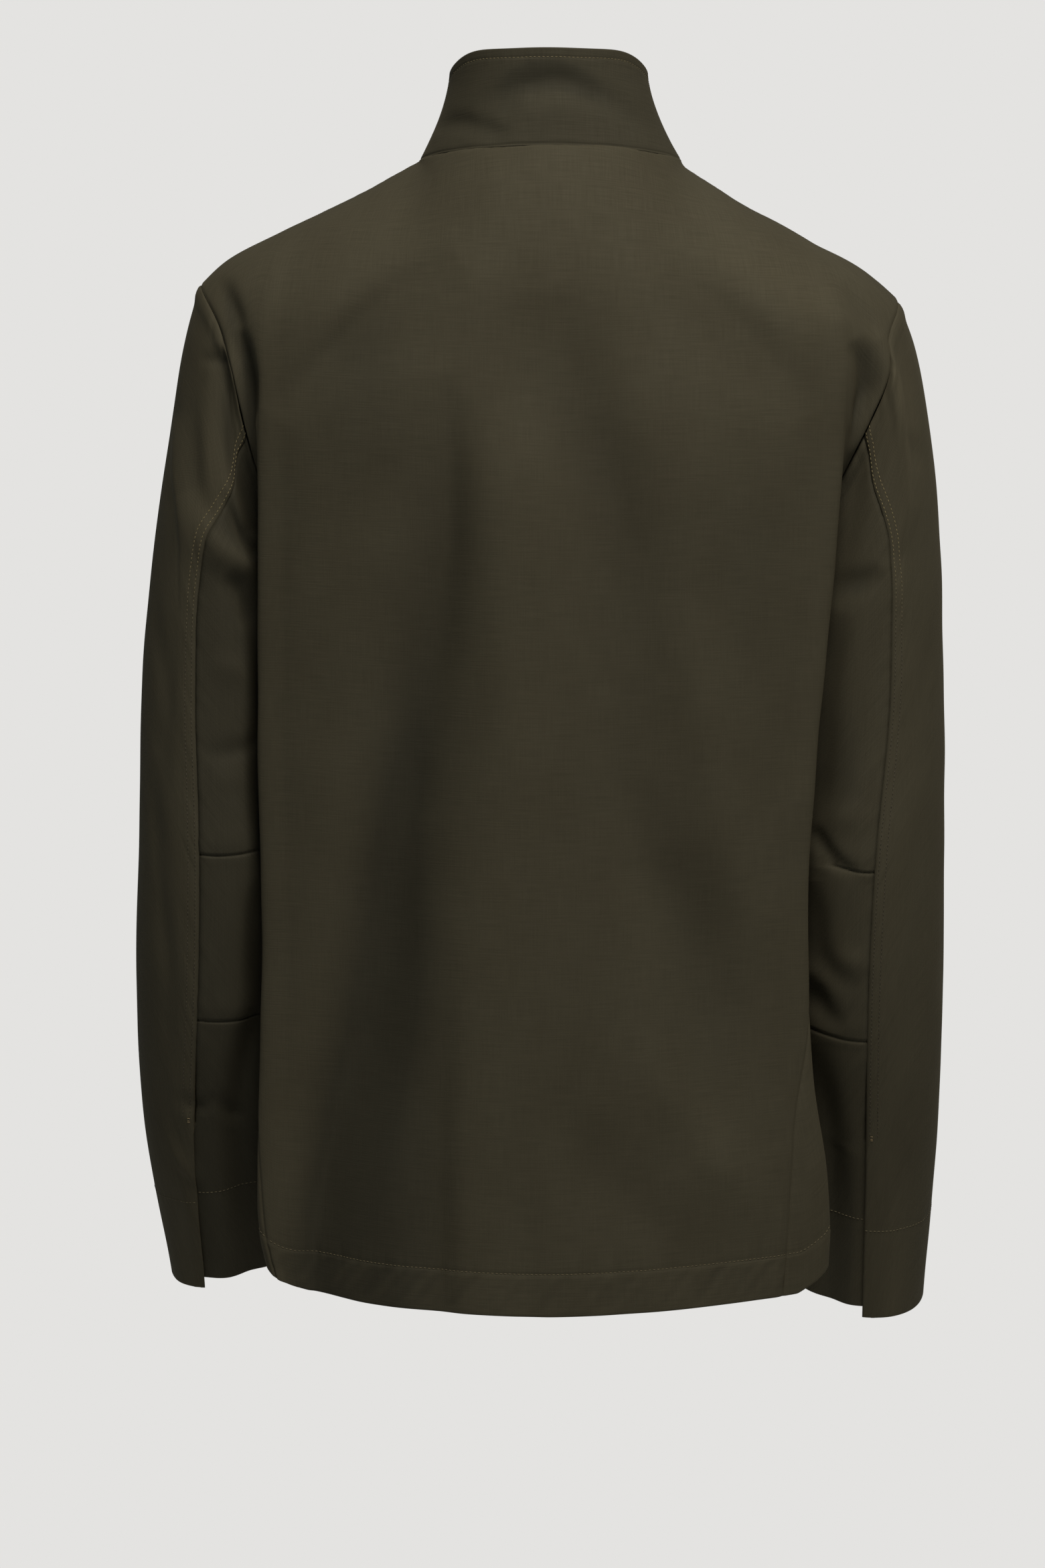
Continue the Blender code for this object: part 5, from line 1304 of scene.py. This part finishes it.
def sew(name, runs, material):
    """Rows of stitches as one mesh. runs: paths on the cloth and the cloth's normals there."""
    quarters = np.arange(4) * math.pi / 2
    ring = [(at, math.cos(a), math.sin(a)) for at in (-BEAD_MIDDLE, BEAD_MIDDLE) for a in quarters]
    bead = np.array([(-0.5, -BEAD_DIP, 0)] + ring + [(0.5, -BEAD_DIP, 0)])
    turns = [(k, (k + 1) % 4) for k in range(4)]
    shape = [(0, 1 + b, 1 + a) for a, b in turns]
    shape += [(1 + a, 1 + b, 5 + b, 5 + a) for a, b in turns]
    shape += [(9, 5 + a, 5 + b) for a, b in turns]
    places, faces = [], []
    for path, up in runs:
        along = np.concatenate([[0], np.cumsum(np.linalg.norm(np.diff(path, axis=0), axis=1))])
        at = np.arange(STITCH_PITCH / 2, along[-1] - STITCH_PITCH / 2, STITCH_PITCH)
        lines = (path, np.gradient(path, axis=0), up)
        middle, way, out = (
            np.stack([np.interp(at, along, line[:, k]) for k in range(3)], -1) for line in lines
        )
        way, out = unit(way), unit(out)
        beside = np.cross(way, out)
        lift = middle + BEAD_LIFT * THREAD_RADIUS * out
        sized = bead * (STITCH_LENGTH, THREAD_RADIUS, THREAD_RADIUS)
        for centre, *axes in zip(lift, way, out, beside):
            start = len(bead) * len(places)
            places.append(sum((np.outer(sized[:, k], axes[k]) for k in range(3)), start=centre))
            faces += [tuple(start + k for k in face) for face in shape]
    mesh = bpy.data.meshes.new(name)
    mesh.from_pydata((np.concatenate(places) * MM).tolist(), [], faces)
    mesh.polygons.foreach_set("use_smooth", np.ones(len(mesh.polygons), bool))
    mesh.materials.append(material)
    made = link_object(name, mesh)
    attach(made, "root")
    return made


pale_thread = thread_material("tan_polyester_thread", *SLEEVE_THREADS)
hem_thread = thread_material("olive_polyester_thread", *HEM_THREADS)
tack_thread = thread_material("tan_polyester_tack_thread", *TACK_THREADS)
sew("back_hem_stitches", [line_on(back_points, back_normals, back_far["hem"], HEM_STITCH)], hem_thread)
for side in SIDES:
    points, far = front_points[side], front_far[side]
    normals = grid_normals(points)
    normals *= np.sign(-normals[..., 1].mean())  # outwards
    runs = [line_on(points, normals, far["hem"], HEM_STITCH)]
    runs.append(line_on(turned(points), turned(normals), turned(far["middle"]), FRONT_STITCH))
    sew(f"{side}_front_stitches", runs, hem_thread)
collar_normals = -grid_normals(collar_points)
sew("collar_stitches", [line_on(collar_points, collar_normals, collar_far["top"], COLLAR_STITCH)], hem_thread)
for side in SIDES:
    points, normals, far = sleeve_grids[side, "top"]
    rows = sleeve_rows(DART_SHARES[side])
    grids = [turned(grid[rows < VENT_TOP]) for grid in (points, normals, far["last"])]
    sew(f"{side}_back_seam_stitches", [line_on(*grids, at) for at in SEAM_STITCHES], pale_thread)
    tack = []
    for row in np.flatnonzero((rows > VENT_TOP + TACK_ROWS[0]) & (rows < VENT_TOP + TACK_ROWS[1])):
        near = (far["last"][row] > TACK_REACH[0]) & (far["last"][row] < TACK_REACH[1])
        tack.append((points[row, near], normals[row, near]))
    sew(f"{side}_vent_tack", tack, tack_thread)
    parts = (sleeve_grids[side, part] for part in ("top", "under"))
    runs = [line_on(points, normals, far["cuff"], CUFF_STITCH) for points, normals, far in parts]
    sew(f"{side}_cuff_stitches", runs, hem_thread)


# ---- The buttons ----
# Dark olive urea buttons with a turned rim, a shallow dish and four holes. Each is sewn on through the right
# front with three turns of crossed thread, and the left front and the collar are buttoned over it.
BUTTON_HEIGHTS = (-8.0, -80.0, -190.0, -300.0, -410.0, -520.0, -630.0)
BUTTON_RADIUS, BUTTON_THICKNESS, BUTTON_RIM, BUTTON_SLOPE, BUTTON_DISH = 9.5, 3.2, 1.8, 1.2, 0.8
BUTTON_HOLE_RADIUS, BUTTON_HOLE_SPREAD, BUTTON_BEVEL = 1.1, 2.4, 0.3
BUTTON_BOW = 0.1  # how much further out a button sits because the front bulges under it
BUTTON_THREAD = 0.22  # its radius
THREAD_TURNS = (-0.46, 0.0, 0.46)
THREAD_TOPS, THREAD_BACK = (3.05, 3.4), -0.6  # heights of the crossing strands, and of their backs


def button_material(name):
    """Moulded urea plastic, tumbled to a soft gloss, with faint horn-like clouds."""
    made, tree, output = new_material(name)
    place = add(tree, "TexCoord").outputs["Object"]
    noise = {0: place, "Scale": 1 / (7 * MM), "Detail": 3.0, "Distortion": 1.2}
    clouds = add(tree, "TexNoise", noise).outputs[0]
    ramp = add(tree, "ValToRGB", {0: clouds})
    for element, at, colour in zip(ramp.color_ramp.elements, (0.35, 0.7), ("1B1913", "322D20")):
        element.position, element.color = at, linear(colour)
    scratches = add(tree, "TexNoise", {0: place, "Scale": 1 / (0.6 * MM), "Detail": 2.0}).outputs[0]
    gloss = add(tree, "MapRange", {0: scratches, 1: 0.3, 2: 0.7, 3: 0.32, 4: 0.48}).outputs[0]
    shader = add(tree, "BsdfPrincipled", {"Base Color": ramp.outputs[0], "Roughness": gloss})
    tree.links.new(shader.outputs[0], output.inputs[0])
    return made


def pick(made):
    """Leaves one object selected and active."""
    bpy.ops.object.select_all(action="DESELECT")
    made.select_set(True)
    bpy.context.view_layer.objects.active = made


def apply_modifier(made, kind, **settings):
    pick(made)
    added = made.modifiers.new(kind.lower(), kind)
    for name, value in settings.items():
        setattr(added, name, value)
    bpy.ops.object.modifier_apply(modifier=added.name)


def pick_faces(made, wanted):
    """Enters edit mode with the faces for which wanted is true selected."""
    pick(made)
    bpy.ops.object.mode_set(mode="EDIT")
    bpy.ops.mesh.select_mode(type="FACE")
    bpy.ops.mesh.select_all(action="DESELECT")
    bpy.ops.object.mode_set(mode="OBJECT")
    for face in made.data.polygons:
        face.select = bool(wanted(face))
    bpy.ops.object.mode_set(mode="EDIT")


def dress(made, material):
    made.data.materials.clear()
    made.data.materials.append(material)


def copied(shape, name, place):
    """A copy of a small part with a mesh of its own, moved to its place."""
    made = link_object(name, shape.data.copy())
    made.data.name = name
    made.data.transform(place)
    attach(made, "root")
    return made


def front_middle():
    """The line down the middle of the left front and of the collar above it: places and heights, rising."""
    line = []
    for height in np.linspace(0, 2, 41):
        row = panel_row("left", height, np.linspace(0, 0.2, 21), -1)
        line.append([np.interp(0.0, row[:, 0], row[:, k]) for k in (1, 2)])
    line += [collar_point("left", 180.0, rise)[1:] for rise in np.linspace(0.1, 1, 10)]
    return np.array(line).T


# A button lying flat, its back at height 0.
bpy.ops.object.select_all(action="DESELECT")
bpy.ops.mesh.primitive_cylinder_add(
    vertices=56,
    radius=BUTTON_RADIUS * MM,
    depth=BUTTON_THICKNESS * MM,
    location=(0, 0, BUTTON_THICKNESS / 2 * MM),
)
bpy.ops.object.transform_apply(location=True)
button = bpy.context.object
pick_faces(button, lambda face: face.normal.z > 0.9)
bpy.ops.mesh.inset(thickness=BUTTON_RIM * MM)
bpy.ops.mesh.inset(thickness=BUTTON_SLOPE * MM, depth=-BUTTON_DISH * MM)
bpy.ops.object.mode_set(mode="OBJECT")
for quarter in range(4):
    turn = math.radians(45 + 90 * quarter)
    place = (math.cos(turn) * BUTTON_HOLE_SPREAD * MM, math.sin(turn) * BUTTON_HOLE_SPREAD * MM, 0)
    bpy.ops.object.select_all(action="DESELECT")
    bpy.ops.mesh.primitive_cylinder_add(
        vertices=20, radius=BUTTON_HOLE_RADIUS * MM, depth=4 * BUTTON_THICKNESS * MM, location=place
    )
    drill = bpy.context.object
    apply_modifier(button, "BOOLEAN", object=drill)
    bpy.data.objects.remove(drill, do_unlink=True)
apply_modifier(button, "BEVEL", width=BUTTON_BEVEL * MM, segments=3, angle_limit=math.radians(25))
pick(button)
bpy.ops.object.shade_smooth_by_angle(angle=math.radians(30))
dress(button, button_material("dark_olive_urea_plastic"))

# Its thread: turns through two holes across the middle, and over them turns through the other two.
turns = []
for top, turn in zip(THREAD_TOPS, (math.radians(45), math.radians(135))):
    for beside in THREAD_TURNS:
        place = (-math.sin(turn) * beside * MM, math.cos(turn) * beside * MM, (top + THREAD_BACK) / 2 * MM)
        bpy.ops.object.select_all(action="DESELECT")
        bpy.ops.mesh.primitive_torus_add(
            major_segments=30,
            minor_segments=6,
            major_radius=BUTTON_HOLE_SPREAD * MM,
            minor_radius=BUTTON_THREAD * MM,
            location=place,
            rotation=(math.pi / 2, 0, turn),
        )
        made = bpy.context.object
        made.scale[1] = (top - THREAD_BACK) / 2 / BUTTON_HOLE_SPREAD
        turns.append(made)
for made in turns:
    made.select_set(True)
bpy.ops.object.transform_apply(location=True, rotation=True, scale=True)
bpy.ops.object.join()
button_thread = bpy.context.object
bpy.ops.object.shade_smooth()
dress(button_thread, hem_thread)

middle_y, middle_z = front_middle()
off = LAP_LIFT + SEAM_GAP + BUTTON_BOW
for number, height in enumerate(BUTTON_HEIGHTS, 1):
    lower, upper = np.interp([height - BUTTON_RADIUS, height + BUTTON_RADIUS], middle_z, middle_y)
    lean = math.atan2(upper - lower, 2 * BUTTON_RADIUS)
    y, z = (lower + upper) / 2 - math.cos(lean) * off, height + math.sin(lean) * off
    place = Matrix.Translation((0, y * MM, z * MM)) @ Matrix.Rotation(math.radians(90) - lean, 4, "X")
    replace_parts(copied(button, f"urea_button_{number}", place), f"button_{number}")
    copied(button_thread, f"button_thread_{number}", place)
for made in (button, button_thread):
    bpy.data.objects.remove(made, do_unlink=True)


# ---- The buttonholes ----
# Slits across the left front and the collar, 24 mm long in all, worked over with close purl stitches. Each
# starts behind its button, where the thread passes through it, and runs away from the front's edge.
HOLE_LENGTH, HOLE_START = 20.0, -1.5
PURL_WIDTH, PURL_HEIGHT, PURL_PITCH, SLIT_HALF_WIDTH = 1.7, 0.42, 0.55, 0.12
HOLE_CUTS = 20

bpy.ops.object.select_all(action="DESELECT")
bpy.ops.mesh.primitive_torus_add(
    major_segments=28,
    minor_segments=10,
    major_radius=(PURL_WIDTH / 2 + SLIT_HALF_WIDTH) * MM,
    minor_radius=PURL_WIDTH / 2 * MM,
)
buttonhole = bpy.context.object
pick_faces(buttonhole, lambda face: face.center.x > 0)
bpy.ops.transform.translate(value=(HOLE_LENGTH * MM, 0, 0))
for cut in np.linspace(0, HOLE_LENGTH, HOLE_CUTS)[1:-1]:
    bpy.ops.mesh.select_all(action="SELECT")
    bpy.ops.mesh.bisect(plane_co=(cut * MM, 0, 0), plane_no=(1, 0, 0))
bpy.ops.object.mode_set(mode="OBJECT")
buttonhole.scale[2] = PURL_HEIGHT / (PURL_WIDTH / 2)
pick(buttonhole)
bpy.ops.object.transform_apply(scale=True)
bpy.ops.object.shade_smooth()
dress(buttonhole, thread_material("olive_purl_thread", *HEM_THREADS, pitch=PURL_PITCH))

for number, height in enumerate(BUTTON_HEIGHTS, 1):
    place = Matrix.Translation((HOLE_START * MM, 0, height * MM)) @ Matrix.Rotation(math.radians(90), 4, "X")
    made = copied(buttonhole, f"buttonhole_{number}", place)
    for point in made.data.vertices:
        start = (point.co.x, cad_box[0][1] - 0.05, point.co.z)
        hits = [cloth.ray_cast(start, (0, 1, 0)) for cloth in (collar, left_front)]
        point.co.y += min(hit[1].y for hit in hits if hit[0])
bpy.data.objects.remove(buttonhole, do_unlink=True)
